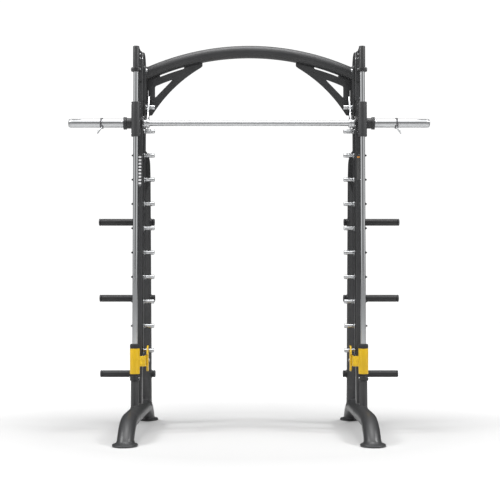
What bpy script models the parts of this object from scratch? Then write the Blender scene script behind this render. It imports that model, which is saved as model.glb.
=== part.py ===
"""Smith machine: a barbell guided on two chrome rods, in a frame of two sides and an arch.

X is across the machine, Y runs from front (-) to back (+), Z is up. The origin is on the
floor, midway between the feet. Every side piece is designed for the right side (X > 0)
and mirrored for the left side.
"""

import math

import bmesh
import bpy
from mathutils import Matrix, Vector

# ---------------------------------------------------------------- driving dimensions, metres

CONTACT_GAP = 0.0003      # between pieces that rest on each other
RUNNING_GAP = 0.0005      # between pieces that slide or turn on each other

# Overall
SIDE_X = 0.640            # of each column, and of the guide rod in front of it
COLUMN_TOP = 2.195

# Base: one round tube a side, bent down to the floor at both ends
BASE_INSET = 0.009        # of its axis, inwards from the column's
BASE_TUBE_RADIUS = 0.0445
BASE_TUBE_WALL = 0.004
BASE_AXIS_HEIGHT = 0.108
BASE_STRAIGHT_HALF = 0.406
BASE_BEND_RADIUS = 0.300
BASE_BEND_STEPS = 7

# Foot plates: flared ovals
FOOT_HALF_WIDTH = 0.066
FOOT_HALF_LENGTH = 0.082
FOOT_PLATE_THICKNESS = 0.013
FOOT_BOSS_HEIGHT = 0.028
FOOT_BOSS_WALL = 0.003
FOOT_FACETS = 24

# Columns: narrow from the front, deep at the top, with a round top
COLUMN_WIDTH = 0.054
COLUMN_TOP_DEPTH = 0.195
COLUMN_FOOT_DEPTH = 0.075
COLUMN_TAPER_LOW_SHARE = 0.25     # of the column's height, where its back starts to lean out
COLUMN_TAPER_HIGH_SHARE = 0.66
COLUMN_WALL = 0.004
COLUMN_EDGE_RADIUS = 0.005

# Rear braces
BRACE_TUBE_RADIUS = 0.0445
BRACE_TUBE_WALL = 0.004
BRACE_FOOT_Y = 0.424
BRACE_HEAD_SETBACK = 0.0263       # of its axis behind the column's back, where its bend starts
BRACE_BEND_SHARE = 0.647          # of the column's height
BRACE_BEND_RADIUS = 0.45
BRACE_BEND_ANGLE = math.radians(20)
BRACE_HEAD_LENGTH = 0.30

# Arch between the columns
ARCH_RADIUS = 1.450
ARCH_RISE = 0.004                 # of its axis above the columns' tops
ARCH_TUBE_RADIUS = 0.0365
ARCH_TUBE_WALL = 0.0035
ARCH_STEPS = 18

# Arch mounting plates
MOUNT_PLATE_THICKNESS = 0.0125
MOUNT_PLATE_DROP = 0.090          # of its top below the column's top
MOUNT_PLATE_HEIGHT = 0.290
MOUNT_PLATE_MARGIN = 0.006
MOUNT_PLATE_CORNER = 0.020

# Gussets under the arch
GUSSET_THICKNESS = 0.008
GUSSET_REACH = 0.326              # inwards from the mounting plate
GUSSET_TIP_HEIGHT = 0.020
GUSSET_FOOT_WIDTH = 0.031
GUSSET_FOOT_RISE = 0.010          # of its foot above the plate's bottom
GUSSET_LOWER_SAGITTA = 0.024
GUSSET_SLOT_WIDTH = 0.0095
GUSSET_SLOT_SLOPE = 0.004         # run of a slot's slanted end
GUSSET_RIM = 0.048                # between the plate and the triangular hole
GUSSET_TOP_BAND = 0.050           # between the arch and the triangular hole
GUSSET_HOLE_DEPTH = 0.062
GUSSET_HOLE_CORNER = 0.007
SIDE_SLOT_DROP = 0.055            # of the side slot's top below the arch
SIDE_SLOT_HEIGHT = 0.074

# Guide rods and their sockets
ROD_BEFORE_COLUMN = 0.135         # of the rod's axis before the column's front face
ROD_Y = -0.0735
ROD_RADIUS = 0.015
ROD_CHAMFER = 0.002
ROD_DEPTH_IN_FOOT = 0.091
ROD_COVER = 0.012                 # of the top socket above the rod's end
TOP_SOCKET_WALL = 0.003
TOP_SOCKET_DROP = 0.013           # of the socket's top below the column's top
TOP_SOCKET_HEIGHT = 0.124
TOP_FLANGE_THICKNESS = 0.006
TOP_FLANGE_HEIGHT = 0.104
TOP_FLANGE_RISE = 0.012           # above where the column's front starts to curve back
TOP_RING_WALL = 0.0135
TOP_RING_HEIGHT = 0.020
BOTTOM_SOCKET_WALL = 0.0065
BOTTOM_SOCKET_HEIGHT = 0.1385     # above the base tube
BOTTOM_RING_WALL = 0.0125
BOTTOM_RING_HEIGHT = 0.028
RUBBER_BAND_HEIGHT = 0.011

# Hook pegs
PEG_COUNT = 11
TOP_PEG_RISE = 0.0482             # above the mounting plate's bottom
LOWEST_PEG_DROP = 0.0183          # below the safety stop's top
PEG_SETBACK = 0.040               # of the pegs' axes behind the column's front face
PEG_RADIUS = 0.0125
PEG_NOSE = 0.003
PEG_LENGTH = 0.0655               # from the column's inner face
PEG_RAIL_WIDTH = 0.036
PEG_RAIL_THICKNESS = 0.004
PEG_RAIL_MARGIN = 0.026

# Weight-storage horns, through the braces
HORN_COUNT = 3
HORN_LOWEST = 0.301
HORN_PITCH_SHARE = 0.3190         # of the height where the brace starts to bend
HORN_RADIUS = 0.021
HORN_NOSE = 0.006
HORN_OUTER_LENGTH = 0.220
HORN_INNER_LENGTH = 0.023

# Barbell
BAR_BELOW_TOP_PEG = 0.1137
BAR_RADIUS = 0.015
SLEEVE_RADIUS = 0.025
SLEEVE_JOURNAL_LENGTH = 0.066
SLEEVE_LENGTH = 0.301
END_CAP_LENGTH = 0.013

# Carriages
CARRIAGE_WALL = 0.0045
CARRIAGE_BELOW_BAR = 0.0825
CARRIAGE_ABOVE_BAR = 0.1135
CARRIAGE_EDGE_RADIUS = 0.003
BUSH_WALL = 0.0065
BUSH_LENGTH = 0.030
BORES_APART = 0.0065              # wall between the rod's bore and the bar's bore
HOUSING_WALL = 0.006
HOUSING_REACH_IN = 0.026
HOUSING_REACH_OUT = 0.0575
OUTER_FLANGE_LIP = 0.0055
OUTER_FLANGE_THICKNESS = 0.0175
BEARING_WALL = 0.009
BEARING_FLANGE_LIP = 0.0125
BEARING_FLANGE_THICKNESS = 0.013
BEARING_SPIGOT_LENGTH = 0.024

# Bar hooks: plates that turn with the bar and catch the pegs
HOOK_INSET = 0.0355               # of its middle, inwards from the column's inner face
HOOK_THICKNESS = 0.008
HOOK_TURN = math.radians(16)      # from its place on the peg to where it rests
HOOK_HUB_WALL = 0.015
HOOK_BOSS_WALL = 0.009
HOOK_FINGER = 0.010
HOOK_BACK = 0.0135
HOOK_HALF_WIDTH = 0.024
THROAT_CLEARANCE = 0.002

# Spring collars: wire coils with two handles
COLLAR_PLACE = 0.1245             # along the sleeve
COLLAR_WIRE_RADIUS = 0.0028
COLLAR_TURNS = 2.2
COLLAR_COIL_PITCH = 0.0068
COLLAR_HANDLE = 0.040
COLLAR_HANDLE_LEAN = math.radians(35)

# Safety stops
STOP_WALL = 0.0125
STOP_HEIGHT = 0.142
STOP_RING_HEIGHT = 0.026
STOP_ARM_HEIGHT = 0.058
STOP_ARM_THICKNESS = 0.008
STOP_ARM_BELOW_PEG = 0.0542       # arm's mid-height below the peg its hook catches
STOP_ARM_OFFSET = 0.0185          # of the arm's bend behind the sleeve
STOP_PIVOT_RADIUS = 0.006
STOP_HOOK_THICKNESS = 0.008
STOP_HOOK_TURN = math.radians(25)
STOP_HOOK_LOWER_LOBE = 0.062
STOP_HOOK_WIDTH = 0.058
STOP_HOOK_REAR = 0.009
STOP_HOOK_CLEARANCE = 0.0055      # between the resting hook and the pegs it passes

# Facets
ROUND_LARGE = 20
ROUND_SMALL = 12

# ---------------------------------------------------------------- derived sizes

BASE_X = SIDE_X - BASE_INSET
BASE_TOP = BASE_AXIS_HEIGHT + BASE_TUBE_RADIUS
BASE_BEND_ANGLE = math.acos(1 - BASE_AXIS_HEIGHT / BASE_BEND_RADIUS)
FOOT_Y = BASE_STRAIGHT_HALF + BASE_BEND_RADIUS * math.sin(BASE_BEND_ANGLE)

COLUMN_FRONT_Y = ROD_Y + ROD_BEFORE_COLUMN
COLUMN_INNER_X = SIDE_X - COLUMN_WIDTH / 2
COLUMN_BACK_Y = COLUMN_FRONT_Y + COLUMN_TOP_DEPTH
COLUMN_CROWN = COLUMN_TOP - COLUMN_TOP_DEPTH / 2
COLUMN_TAPER_LOW = COLUMN_TAPER_LOW_SHARE * COLUMN_TOP
COLUMN_TAPER_HIGH = COLUMN_TAPER_HIGH_SHARE * COLUMN_TOP

BRACE_BEND_HEIGHT = BRACE_BEND_SHARE * COLUMN_TOP
BRACE_HEAD_Y = COLUMN_BACK_Y + BRACE_HEAD_SETBACK
BRACE_LEAN = (BRACE_FOOT_Y - BRACE_HEAD_Y) / (BRACE_BEND_HEIGHT - BASE_AXIS_HEIGHT)
HORN_PITCH = HORN_PITCH_SHARE * BRACE_BEND_HEIGHT

ARCH_Y = COLUMN_FRONT_Y + COLUMN_TOP_DEPTH / 2
ARCH_APEX_HEIGHT = COLUMN_TOP + ARCH_RISE
MOUNT_PLATE_INNER_X = COLUMN_INNER_X - CONTACT_GAP - MOUNT_PLATE_THICKNESS
MOUNT_PLATE_TOP = COLUMN_TOP - MOUNT_PLATE_DROP
MOUNT_PLATE_BOTTOM = MOUNT_PLATE_TOP - MOUNT_PLATE_HEIGHT

TOP_SOCKET_RADIUS = ROD_RADIUS + TOP_SOCKET_WALL
TOP_SOCKET_TOP = COLUMN_TOP - TOP_SOCKET_DROP
TOP_SOCKET_BOTTOM = TOP_SOCKET_TOP - TOP_SOCKET_HEIGHT
TOP_RING_RADIUS = ROD_RADIUS + TOP_RING_WALL
BOTTOM_SOCKET_RADIUS = ROD_RADIUS + BOTTOM_SOCKET_WALL
BOTTOM_SOCKET_TOP = BASE_TOP + BOTTOM_SOCKET_HEIGHT
BOTTOM_RING_RADIUS = ROD_RADIUS + BOTTOM_RING_WALL
BOTTOM_RING_TOP = BOTTOM_SOCKET_TOP + BOTTOM_RING_HEIGHT
ROD_TOP = TOP_SOCKET_TOP - ROD_COVER
ROD_BOTTOM = BOTTOM_SOCKET_TOP - ROD_DEPTH_IN_FOOT

STOP_RADIUS = ROD_RADIUS + STOP_WALL
STOP_BOTTOM = BOTTOM_RING_TOP + RUBBER_BAND_HEIGHT + RUNNING_GAP
STOP_TOP = STOP_BOTTOM + STOP_HEIGHT

PEG_Y = COLUMN_FRONT_Y + PEG_SETBACK
PEG_TIP_X = COLUMN_INNER_X - PEG_LENGTH
PEG_LOWEST = STOP_TOP - LOWEST_PEG_DROP
PEG_HIGHEST = MOUNT_PLATE_BOTTOM + TOP_PEG_RISE
PEG_PITCH = (PEG_HIGHEST - PEG_LOWEST) / (PEG_COUNT - 1)

CARRIAGE_BORE = ROD_RADIUS + BUSH_WALL
CARRIAGE_RADIUS = CARRIAGE_BORE + CARRIAGE_WALL
HOUSING_BORE = BAR_RADIUS + BEARING_WALL
HOUSING_RADIUS = HOUSING_BORE + HOUSING_WALL
HOUSING_INNER_X = SIDE_X - HOUSING_REACH_IN
HOUSING_OUTER_X = SIDE_X + HOUSING_REACH_OUT
OUTER_FLANGE_RADIUS = HOUSING_RADIUS + OUTER_FLANGE_LIP
BEARING_FLANGE_RADIUS = HOUSING_RADIUS + BEARING_FLANGE_LIP
BEARING_INNER_X = HOUSING_INNER_X - CONTACT_GAP - BEARING_FLANGE_THICKNESS

BAR_Y = ROD_Y + CARRIAGE_BORE + BORES_APART + HOUSING_BORE
BAR_HEIGHT = PEG_HIGHEST - BAR_BELOW_TOP_PEG
CARRIAGE_BOTTOM = BAR_HEIGHT - CARRIAGE_BELOW_BAR
CARRIAGE_TOP = BAR_HEIGHT + CARRIAGE_ABOVE_BAR
SLEEVE_START_X = HOUSING_OUTER_X + OUTER_FLANGE_THICKNESS + RUNNING_GAP
SLEEVE_END_X = SLEEVE_START_X + SLEEVE_LENGTH
BAR_HALF = SLEEVE_END_X - CONTACT_GAP
COLLAR_X = SLEEVE_START_X + COLLAR_PLACE

HOOK_X = COLUMN_INNER_X - HOOK_INSET
HOOK_HUB_RADIUS = BAR_RADIUS + HOOK_HUB_WALL
HOOK_BOSS_RADIUS = BAR_RADIUS + HOOK_BOSS_WALL
STOP_PIVOT_Y = PEG_Y - PEG_RADIUS - STOP_HOOK_CLEARANCE - STOP_HOOK_REAR
STOP_PIVOT_Z = PEG_LOWEST - STOP_ARM_BELOW_PEG
STOP_ARM_INNER_X = HOOK_X + HOOK_THICKNESS / 2 + 0.0025


# ---------------------------------------------------------------- tools


def clear_scene():
    for item in list(bpy.data.objects):
        bpy.data.objects.remove(item, do_unlink=True)


def material(name, colour, roughness, metallic):
    made = bpy.data.materials.new(name)
    made.use_nodes = True
    shader = made.node_tree.nodes["Principled BSDF"]
    shader.inputs["Base Color"].default_value = (*colour, 1.0)
    shader.inputs["Roughness"].default_value = roughness
    shader.inputs["Metallic"].default_value = metallic
    made.diffuse_color = (*colour, 1.0)
    return made


def mesh_object(name, shape):
    """An object that holds a bmesh, which is freed."""
    bmesh.ops.recalc_face_normals(shape, faces=shape.faces)
    data = bpy.data.meshes.new(name)
    shape.to_mesh(data)
    shape.free()
    made = bpy.data.objects.new(name, data)
    bpy.context.scene.collection.objects.link(made)
    return made


def take_evaluated(item):
    """Replaces an object's mesh by what its modifiers make of it."""
    graph = bpy.context.evaluated_depsgraph_get()
    graph.update()
    done = bpy.data.meshes.new_from_object(item.evaluated_get(graph))
    item.modifiers.clear()
    item.data = done


def combine(item, tools, operation):
    """Joins or cuts an object with others, which are used up."""
    for tool in tools:
        boolean = item.modifiers.new("combine", "BOOLEAN")
        boolean.operation = operation
        boolean.solver = "EXACT"
        boolean.object = tool
        take_evaluated(item)
        bpy.data.objects.remove(tool, do_unlink=True)
    return item


def cut(item, *tools):
    return combine(item, tools, "DIFFERENCE")


def join(item, *tools):
    return combine(item, tools, "UNION")


def bevel_edges(item, width, segments, angle=math.radians(40)):
    rounding = item.modifiers.new("bevel", "BEVEL")
    rounding.width = width
    rounding.segments = segments
    rounding.limit_method = "ANGLE"
    rounding.angle_limit = angle
    take_evaluated(item)
    return item


def loft(rings, closed=False, capped=True):
    """A skin through rings of points; a ring of one point is a tip."""
    shape = bmesh.new()
    loops = [[shape.verts.new(point) for point in ring] for ring in rings]
    pairs = list(zip(loops, loops[1:]))
    if closed:
        pairs.append((loops[-1], loops[0]))
    for lower, upper in pairs:
        count = max(len(lower), len(upper))
        for i in range(count):
            j = (i + 1) % count
            corners = [lower[i % len(lower)], lower[j % len(lower)],
                       upper[j % len(upper)], upper[i % len(upper)]]
            shape.faces.new(dict.fromkeys(corners))
    if capped and not closed:
        for ring in (loops[0], loops[-1]):
            if len(ring) > 2:
                shape.faces.new(ring)
    return shape


def circle_ring(centre, side, up, radius, count):
    """Points of a circle about centre, in the plane of the unit vectors side and up."""
    steps = [2 * math.pi * i / count for i in range(count)]
    return [centre + radius * (math.cos(a) * side + math.sin(a) * up) for a in steps]


def turned(name, profile, origin, axis, count=ROUND_LARGE, ring=False):
    """A solid of revolution: profile holds (distance along axis, radius) pairs."""
    axis = Vector(axis)
    side = Vector((0, 0, 1)) if abs(axis.z) < 0.5 else Vector((0, 1, 0))
    up = axis.cross(side)
    rings = []
    for along, radius in profile:
        centre = Vector(origin) + axis * along
        rings.append(circle_ring(centre, side, up, radius, count) if radius > 0 else [centre])
    return mesh_object(name, loft(rings, closed=ring))


def hollow_turned(name, outer, start, end, bore, origin, axis, count=ROUND_LARGE):
    """A turned piece with a straight bore through it."""
    profile = [(start, bore), *outer, (end, bore)]
    return turned(name, profile, origin, axis, count, ring=True)


def swept_rings(path, radius, count):
    """Circles square to a path in a plane of constant X."""
    across = Vector((1, 0, 0))
    rings = []
    for i, point in enumerate(path):
        before = path[max(i - 1, 0)]
        after = path[min(i + 1, len(path) - 1)]
        along = (after - before).normalized()
        rings.append(circle_ring(point, across, along.cross(across), radius, count))
    return rings


def solid_tube(name, path, radius, count=ROUND_LARGE):
    return mesh_object(name, loft(swept_rings(path, radius, count)))


def hollow_tube(name, path, radius, wall, count=ROUND_LARGE):
    outer = swept_rings(path, radius, count)
    inner = swept_rings(path, radius - wall, count)
    return mesh_object(name, loft(outer + inner[::-1], closed=True))


def prism(name, outline, low, high, axis):
    """An outline of (first, second) pairs, extruded along X, Y or Z from low to high.

    The pairs are (Y, Z) for axis X, (X, Z) for axis Y and (X, Y) for axis Z.
    """
    place = {
        "X": lambda a, b, c: Vector((c, a, b)),
        "Y": lambda a, b, c: Vector((a, c, b)),
        "Z": lambda a, b, c: Vector((a, b, c)),
    }[axis]
    rings = [[place(a, b, c) for a, b in outline] for c in (low, high)]
    return mesh_object(name, loft(rings))


def arc(centre, radius, start, end, steps):
    """Points of an arc in a plane, ends included; angles in radians."""
    angles = [start + (end - start) * i / steps for i in range(steps + 1)]
    return [(centre[0] + radius * math.cos(a), centre[1] + radius * math.sin(a)) for a in angles]


def sagged_line(start, end, sagitta, steps):
    """Points from start to end on a shallow parabola, bulging to the left by sagitta."""
    run = Vector(end) - Vector(start)
    left = Vector((-run.y, run.x)).normalized()
    shares = [i / steps for i in range(steps + 1)]
    points = [Vector(start) + run * s + left * 4 * sagitta * s * (1 - s) for s in shares]
    return [(p.x, p.y) for p in points]


def finish(item, finish_material, smooth_angle=math.radians(35)):
    """Gives an object its material and shading, and drops coincident points."""
    shape = bmesh.new()
    shape.from_mesh(item.data)
    bmesh.ops.remove_doubles(shape, verts=shape.verts, dist=1e-6)
    bmesh.ops.dissolve_degenerate(shape, edges=shape.edges, dist=1e-6)
    bmesh.ops.triangulate(shape, faces=shape.faces)
    shape.to_mesh(item.data)
    shape.free()
    item.data.shade_smooth()
    item.data.set_sharp_from_angle(angle=smooth_angle)
    item.data.materials.clear()
    item.data.materials.append(finish_material)
    return item


def both_sides(name, build, finish_material):
    """The right-side piece that build makes, and its mirror image on the left."""
    right = finish(build(name + "_right"), finish_material)
    mirrored = bmesh.new()
    mirrored.from_mesh(right.data)
    bmesh.ops.transform(mirrored, matrix=Matrix.Diagonal((-1, 1, 1, 1)), verts=mirrored.verts)
    bmesh.ops.reverse_faces(mirrored, faces=mirrored.faces)
    left = finish(mesh_object(name + "_left", mirrored), finish_material)
    return left, right


def joint_empty(name, location, items, parent=None):
    """An empty on a joint's axis, which its pieces hang on."""
    empty = bpy.data.objects.new(name, None)
    bpy.context.scene.collection.objects.link(empty)
    empty.empty_display_size = 0.05
    offset = Vector(location)
    if parent is not None:
        empty.parent = parent
        empty.location = offset - parent_place(parent)
    else:
        empty.location = offset
    for item in items:
        item.data.transform(Matrix.Translation(-offset))
        item.parent = empty
    return empty


def parent_place(item):
    place = Vector(item.location)
    while item.parent is not None:
        item = item.parent
        place += item.location
    return place


# ---------------------------------------------------------------- frame


def base_path():
    """The base tube's axis from the front foot to the rear foot."""
    centre_height = BASE_AXIS_HEIGHT - BASE_BEND_RADIUS
    reach = BASE_BEND_ANGLE * 1.04
    angles = [reach * (1 - i / BASE_BEND_STEPS) for i in range(BASE_BEND_STEPS + 1)]
    half = [(BASE_STRAIGHT_HALF + BASE_BEND_RADIUS * math.sin(a),
             centre_height + BASE_BEND_RADIUS * math.cos(a)) for a in angles]
    front = [Vector((BASE_X, -y, z)) for y, z in half]
    rear = [Vector((BASE_X, y, z)) for y, z in reversed(half)]
    return front + rear


def base_body(name, extra=0.0):
    return solid_tube(name, base_path(), BASE_TUBE_RADIUS + extra)


def base_tube(name):
    tube = hollow_tube(name, base_path(), BASE_TUBE_RADIUS, BASE_TUBE_WALL)
    reach = FOOT_Y + 2 * FOOT_HALF_LENGTH
    floor = [(-reach, -0.1), (reach, -0.1), (reach, FOOT_PLATE_THICKNESS + CONTACT_GAP),
             (-reach, FOOT_PLATE_THICKNESS + CONTACT_GAP)]
    return cut(tube, prism("floor", floor, BASE_X - 0.1, BASE_X + 0.1, "X"))


def foot_plate(name, way):
    """An oval plate whose middle rises into a boss round the base tube; way is -1 in front."""
    slope = math.tan(BASE_BEND_ANGLE)
    tube_half = BASE_TUBE_RADIUS + CONTACT_GAP + FOOT_BOSS_WALL
    lean = tube_half / math.sin(BASE_BEND_ANGLE)
    top = FOOT_PLATE_THICKNESS
    flare = 0.2 * (FOOT_BOSS_HEIGHT - top)
    rim = [(0.0, 0.0020), (0.0020, 0.0), (0.5 * top, 0.0), (top - 0.0035, 0.0010), (top - 0.0010, 0.0032),
           (top, 0.0070)]
    levels = [(height, FOOT_HALF_WIDTH - inset, FOOT_HALF_LENGTH - inset, 0.0) for height, inset in rim]
    levels += [
        (top + flare, tube_half + 0.007, lean + 0.006, 0.55 * FOOT_BOSS_HEIGHT / slope),
        (FOOT_BOSS_HEIGHT, tube_half, lean, FOOT_BOSS_HEIGHT / slope),
    ]
    rings = []
    for height, half_width, half_length, inward in levels:
        centre_y = way * (FOOT_Y - inward)
        turns = [2 * math.pi * i / FOOT_FACETS for i in range(FOOT_FACETS)]
        rings.append([Vector((BASE_X + half_width * math.cos(a),
                              centre_y + half_length * math.sin(a), height)) for a in turns])
    plate = mesh_object(name, loft(rings))
    tube = base_body("tube", CONTACT_GAP)
    below = [(-2, -0.1), (2, -0.1), (2, FOOT_PLATE_THICKNESS), (-2, FOOT_PLATE_THICKNESS)]
    cut(tube, prism("below", below, BASE_X - 0.1, BASE_X + 0.1, "X"))
    return cut(plate, tube)


def column_outline(grow=0.0, bottom=None):
    """The column's side view as (Y, Z) pairs, grown outwards by grow."""
    radius = COLUMN_TOP_DEPTH / 2 + grow
    front = COLUMN_FRONT_Y - grow
    back = COLUMN_BACK_Y + grow
    foot_back = COLUMN_FRONT_Y + COLUMN_FOOT_DEPTH + grow
    low = BASE_AXIS_HEIGHT + 0.2 * BASE_TUBE_RADIUS if bottom is None else bottom
    return [(front, low), (foot_back, low), (foot_back, COLUMN_TAPER_LOW),
            (back, COLUMN_TAPER_HIGH)] + arc((ARCH_Y, COLUMN_CROWN), radius, 0, math.pi, 10)


def column(name):
    half = COLUMN_WIDTH / 2
    skin = prism(name, column_outline(), SIDE_X - half, SIDE_X + half, "X")
    bevel_edges(skin, COLUMN_EDGE_RADIUS, 2, math.radians(60))
    hollow = prism("hollow", column_outline(-COLUMN_WALL, 0.0),
                   SIDE_X - half + COLUMN_WALL, SIDE_X + half - COLUMN_WALL, "X")
    return cut(skin, hollow, base_body("saddle", CONTACT_GAP))


def brace_y(height):
    """Where the straight part of the brace's axis is at a height."""
    return BRACE_FOOT_Y - BRACE_LEAN * (height - BASE_AXIS_HEIGHT)


def brace_path():
    start = Vector((BASE_X, brace_y(BASE_AXIS_HEIGHT), BASE_AXIS_HEIGHT))
    lean = math.atan(BRACE_LEAN)
    bend_y = brace_y(BRACE_BEND_HEIGHT)
    centre = Vector((bend_y - BRACE_BEND_RADIUS * math.cos(lean),
                     BRACE_BEND_HEIGHT - BRACE_BEND_RADIUS * math.sin(lean)))
    steps = 4
    turns = [lean + BRACE_BEND_ANGLE * i / steps for i in range(steps + 1)]
    bend = [Vector((BASE_X, centre.x + BRACE_BEND_RADIUS * math.cos(a),
                    centre.y + BRACE_BEND_RADIUS * math.sin(a))) for a in turns]
    last = turns[-1]
    way = Vector((0, -math.sin(last), math.cos(last)))
    return [start] + bend + [bend[-1] + way * BRACE_HEAD_LENGTH]


def rear_brace(name):
    tube = hollow_tube(name, brace_path(), BRACE_TUBE_RADIUS, BRACE_TUBE_WALL)
    holes = []
    for i in range(HORN_COUNT):
        height = HORN_LOWEST + HORN_PITCH * i
        hole = [(BASE_X - 2 * BRACE_TUBE_RADIUS, HORN_RADIUS + CONTACT_GAP),
                (BASE_X + 2 * BRACE_TUBE_RADIUS, HORN_RADIUS + CONTACT_GAP)]
        holes.append(turned("hole", hole, (0, brace_y(height), height), (1, 0, 0)))
    beside = prism("beside", column_outline(CONTACT_GAP), BASE_X - 0.1, BASE_X + 0.1, "X")
    return cut(tube, base_body("saddle", CONTACT_GAP), beside, *holes)


def storage_horn(index):
    height = HORN_LOWEST + HORN_PITCH * index
    inner = BASE_X - BRACE_TUBE_RADIUS - HORN_INNER_LENGTH
    outer = BASE_X + BRACE_TUBE_RADIUS + HORN_OUTER_LENGTH
    nose = HORN_NOSE
    profile = [(inner, HORN_RADIUS - nose), (inner + 0.3 * nose, HORN_RADIUS - 0.3 * nose),
               (inner + nose, HORN_RADIUS), (outer - nose, HORN_RADIUS),
               (outer - 0.3 * nose, HORN_RADIUS - 0.3 * nose), (outer, HORN_RADIUS - nose)]
    return lambda name: turned(name, profile, (0, brace_y(height), height), (1, 0, 0))


def arch_angle(x):
    return math.asin(x / ARCH_RADIUS)


def arch_rings(radius, count):
    """Circles square to the arch, from past one mounting plate to past the other."""
    centre = Vector((0, ARCH_Y, ARCH_APEX_HEIGHT - ARCH_RADIUS))
    reach = arch_angle(MOUNT_PLATE_INNER_X) + 0.05
    rings = []
    for i in range(ARCH_STEPS + 1):
        turn = reach * (2 * i / ARCH_STEPS - 1)
        outwards = Vector((math.sin(turn), 0, math.cos(turn)))
        rings.append(circle_ring(centre + outwards * ARCH_RADIUS, outwards, Vector((0, 1, 0)),
                                 radius, count))
    return rings


def arch_tube():
    outer = arch_rings(ARCH_TUBE_RADIUS, ROUND_LARGE)
    inner = arch_rings(ARCH_TUBE_RADIUS - ARCH_TUBE_WALL, ROUND_LARGE)
    tube = mesh_object("arch_tube", loft(outer + inner[::-1], closed=True))
    end = MOUNT_PLATE_INNER_X - CONTACT_GAP
    for way in (-1, 1):
        near, far = sorted((way * end, way * (end + 0.5 * ARCH_RADIUS)))
        front, back = ARCH_Y - 2 * ARCH_TUBE_RADIUS, ARCH_Y + 2 * ARCH_TUBE_RADIUS
        low, high = ARCH_APEX_HEIGHT - ARCH_RADIUS, ARCH_APEX_HEIGHT + ARCH_RADIUS
        slab = [(front, low), (back, low), (back, high), (front, high)]
        cut(tube, prism("beyond", slab, near, far, "X"))
    return tube


def arch_mount_plate(name):
    front = COLUMN_FRONT_Y + MOUNT_PLATE_MARGIN
    back = COLUMN_BACK_Y - MOUNT_PLATE_MARGIN
    corner = MOUNT_PLATE_CORNER
    outline = [(front + corner, MOUNT_PLATE_BOTTOM), (back - corner, MOUNT_PLATE_BOTTOM),
               (back, MOUNT_PLATE_BOTTOM + corner), (back, MOUNT_PLATE_TOP - corner),
               (back - corner, MOUNT_PLATE_TOP), (front + corner, MOUNT_PLATE_TOP),
               (front, MOUNT_PLATE_TOP - corner), (front, MOUNT_PLATE_BOTTOM + corner)]
    outer = COLUMN_INNER_X - CONTACT_GAP
    plate = prism(name, outline, MOUNT_PLATE_INNER_X, outer, "X")
    hole_radius = PEG_RADIUS + CONTACT_GAP
    hole = [(MOUNT_PLATE_INNER_X - PEG_LENGTH, hole_radius), (COLUMN_INNER_X + PEG_LENGTH, hole_radius)]
    return cut(plate, turned("hole", hole, (0, PEG_Y, PEG_HIGHEST), (1, 0, 0), ROUND_SMALL))


def gusset_edges():
    """The gusset's corners, worked out from the mounting plate and the arch."""
    outer = MOUNT_PLATE_INNER_X - CONTACT_GAP
    tip = outer - GUSSET_REACH
    foot = outer - GUSSET_FOOT_WIDTH
    bottom = MOUNT_PLATE_BOTTOM + GUSSET_FOOT_RISE
    return outer, tip, foot, bottom


def under_arch(x, drop):
    """The height of a line that runs below the arch tube at a distance of drop."""
    radius = ARCH_RADIUS - ARCH_TUBE_RADIUS - drop
    return ARCH_APEX_HEIGHT - ARCH_RADIUS + math.sqrt(radius ** 2 - x ** 2)


def gusset(name):
    """A web under the arch with a slot along the arch, one along the plate and a hole."""
    outer, tip, foot, bottom = gusset_edges()
    slope = GUSSET_SLOT_SLOPE
    slot_start = tip + 0.33 * GUSSET_REACH
    slot_end = outer - 0.24 * GUSSET_REACH
    stretches = [(tip, slot_start, -0.008), (slot_start + slope, slot_end, GUSSET_SLOT_WIDTH),
                 (slot_end + slope, outer, -0.008)]
    top = []
    for start, end, drop in stretches:
        for i in range(5):
            x = start + (end - start) * i / 4
            top.append((x, under_arch(x, drop)))
    slot_top = under_arch(outer, SIDE_SLOT_DROP)
    slot_low = slot_top - SIDE_SLOT_HEIGHT
    slot_x = outer - GUSSET_SLOT_WIDTH
    side = [(outer, slot_top + slope), (slot_x, slot_top), (slot_x, slot_low + slope), (outer, slot_low),
            (outer, bottom - slope)]
    tip_bottom = under_arch(tip, GUSSET_TIP_HEIGHT + 0.010)
    lower = sagged_line((foot, bottom), (tip + 0.012, tip_bottom), -GUSSET_LOWER_SAGITTA, 8)
    nose = [(tip, under_arch(tip, GUSSET_TIP_HEIGHT))]
    half = GUSSET_THICKNESS / 2
    plate = prism(name, top + side + lower + nose, ARCH_Y - half, ARCH_Y + half, "Y")

    corner = GUSSET_HOLE_CORNER
    hole_outer = outer - GUSSET_RIM
    hole_inner = tip + 0.55 * GUSSET_REACH
    hole_top = [(x, under_arch(x, GUSSET_TOP_BAND))
                for x in (hole_inner + corner, (hole_inner + hole_outer) / 2, hole_outer)]
    hole_low = [(hole_outer, under_arch(hole_outer, GUSSET_TOP_BAND + GUSSET_HOLE_DEPTH - corner)),
                (hole_outer - corner, under_arch(hole_outer, GUSSET_TOP_BAND + GUSSET_HOLE_DEPTH)),
                (hole_inner, under_arch(hole_inner, GUSSET_TOP_BAND + corner))]
    hole = prism("hole", hole_top + hole_low, ARCH_Y - 2 * half, ARCH_Y + 2 * half, "Y")
    above = mesh_object("above", loft(arch_rings(ARCH_TUBE_RADIUS + CONTACT_GAP, ROUND_LARGE)))
    return cut(plate, above, hole)


# ---------------------------------------------------------------- guide rods


def guide_rod(name):
    chamfer = ROD_CHAMFER
    profile = [(ROD_BOTTOM, ROD_RADIUS - chamfer), (ROD_BOTTOM + chamfer, ROD_RADIUS),
               (ROD_TOP - chamfer, ROD_RADIUS), (ROD_TOP, ROD_RADIUS - chamfer)]
    return turned(name, profile, (SIDE_X, ROD_Y, 0), (0, 0, 1))


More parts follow.
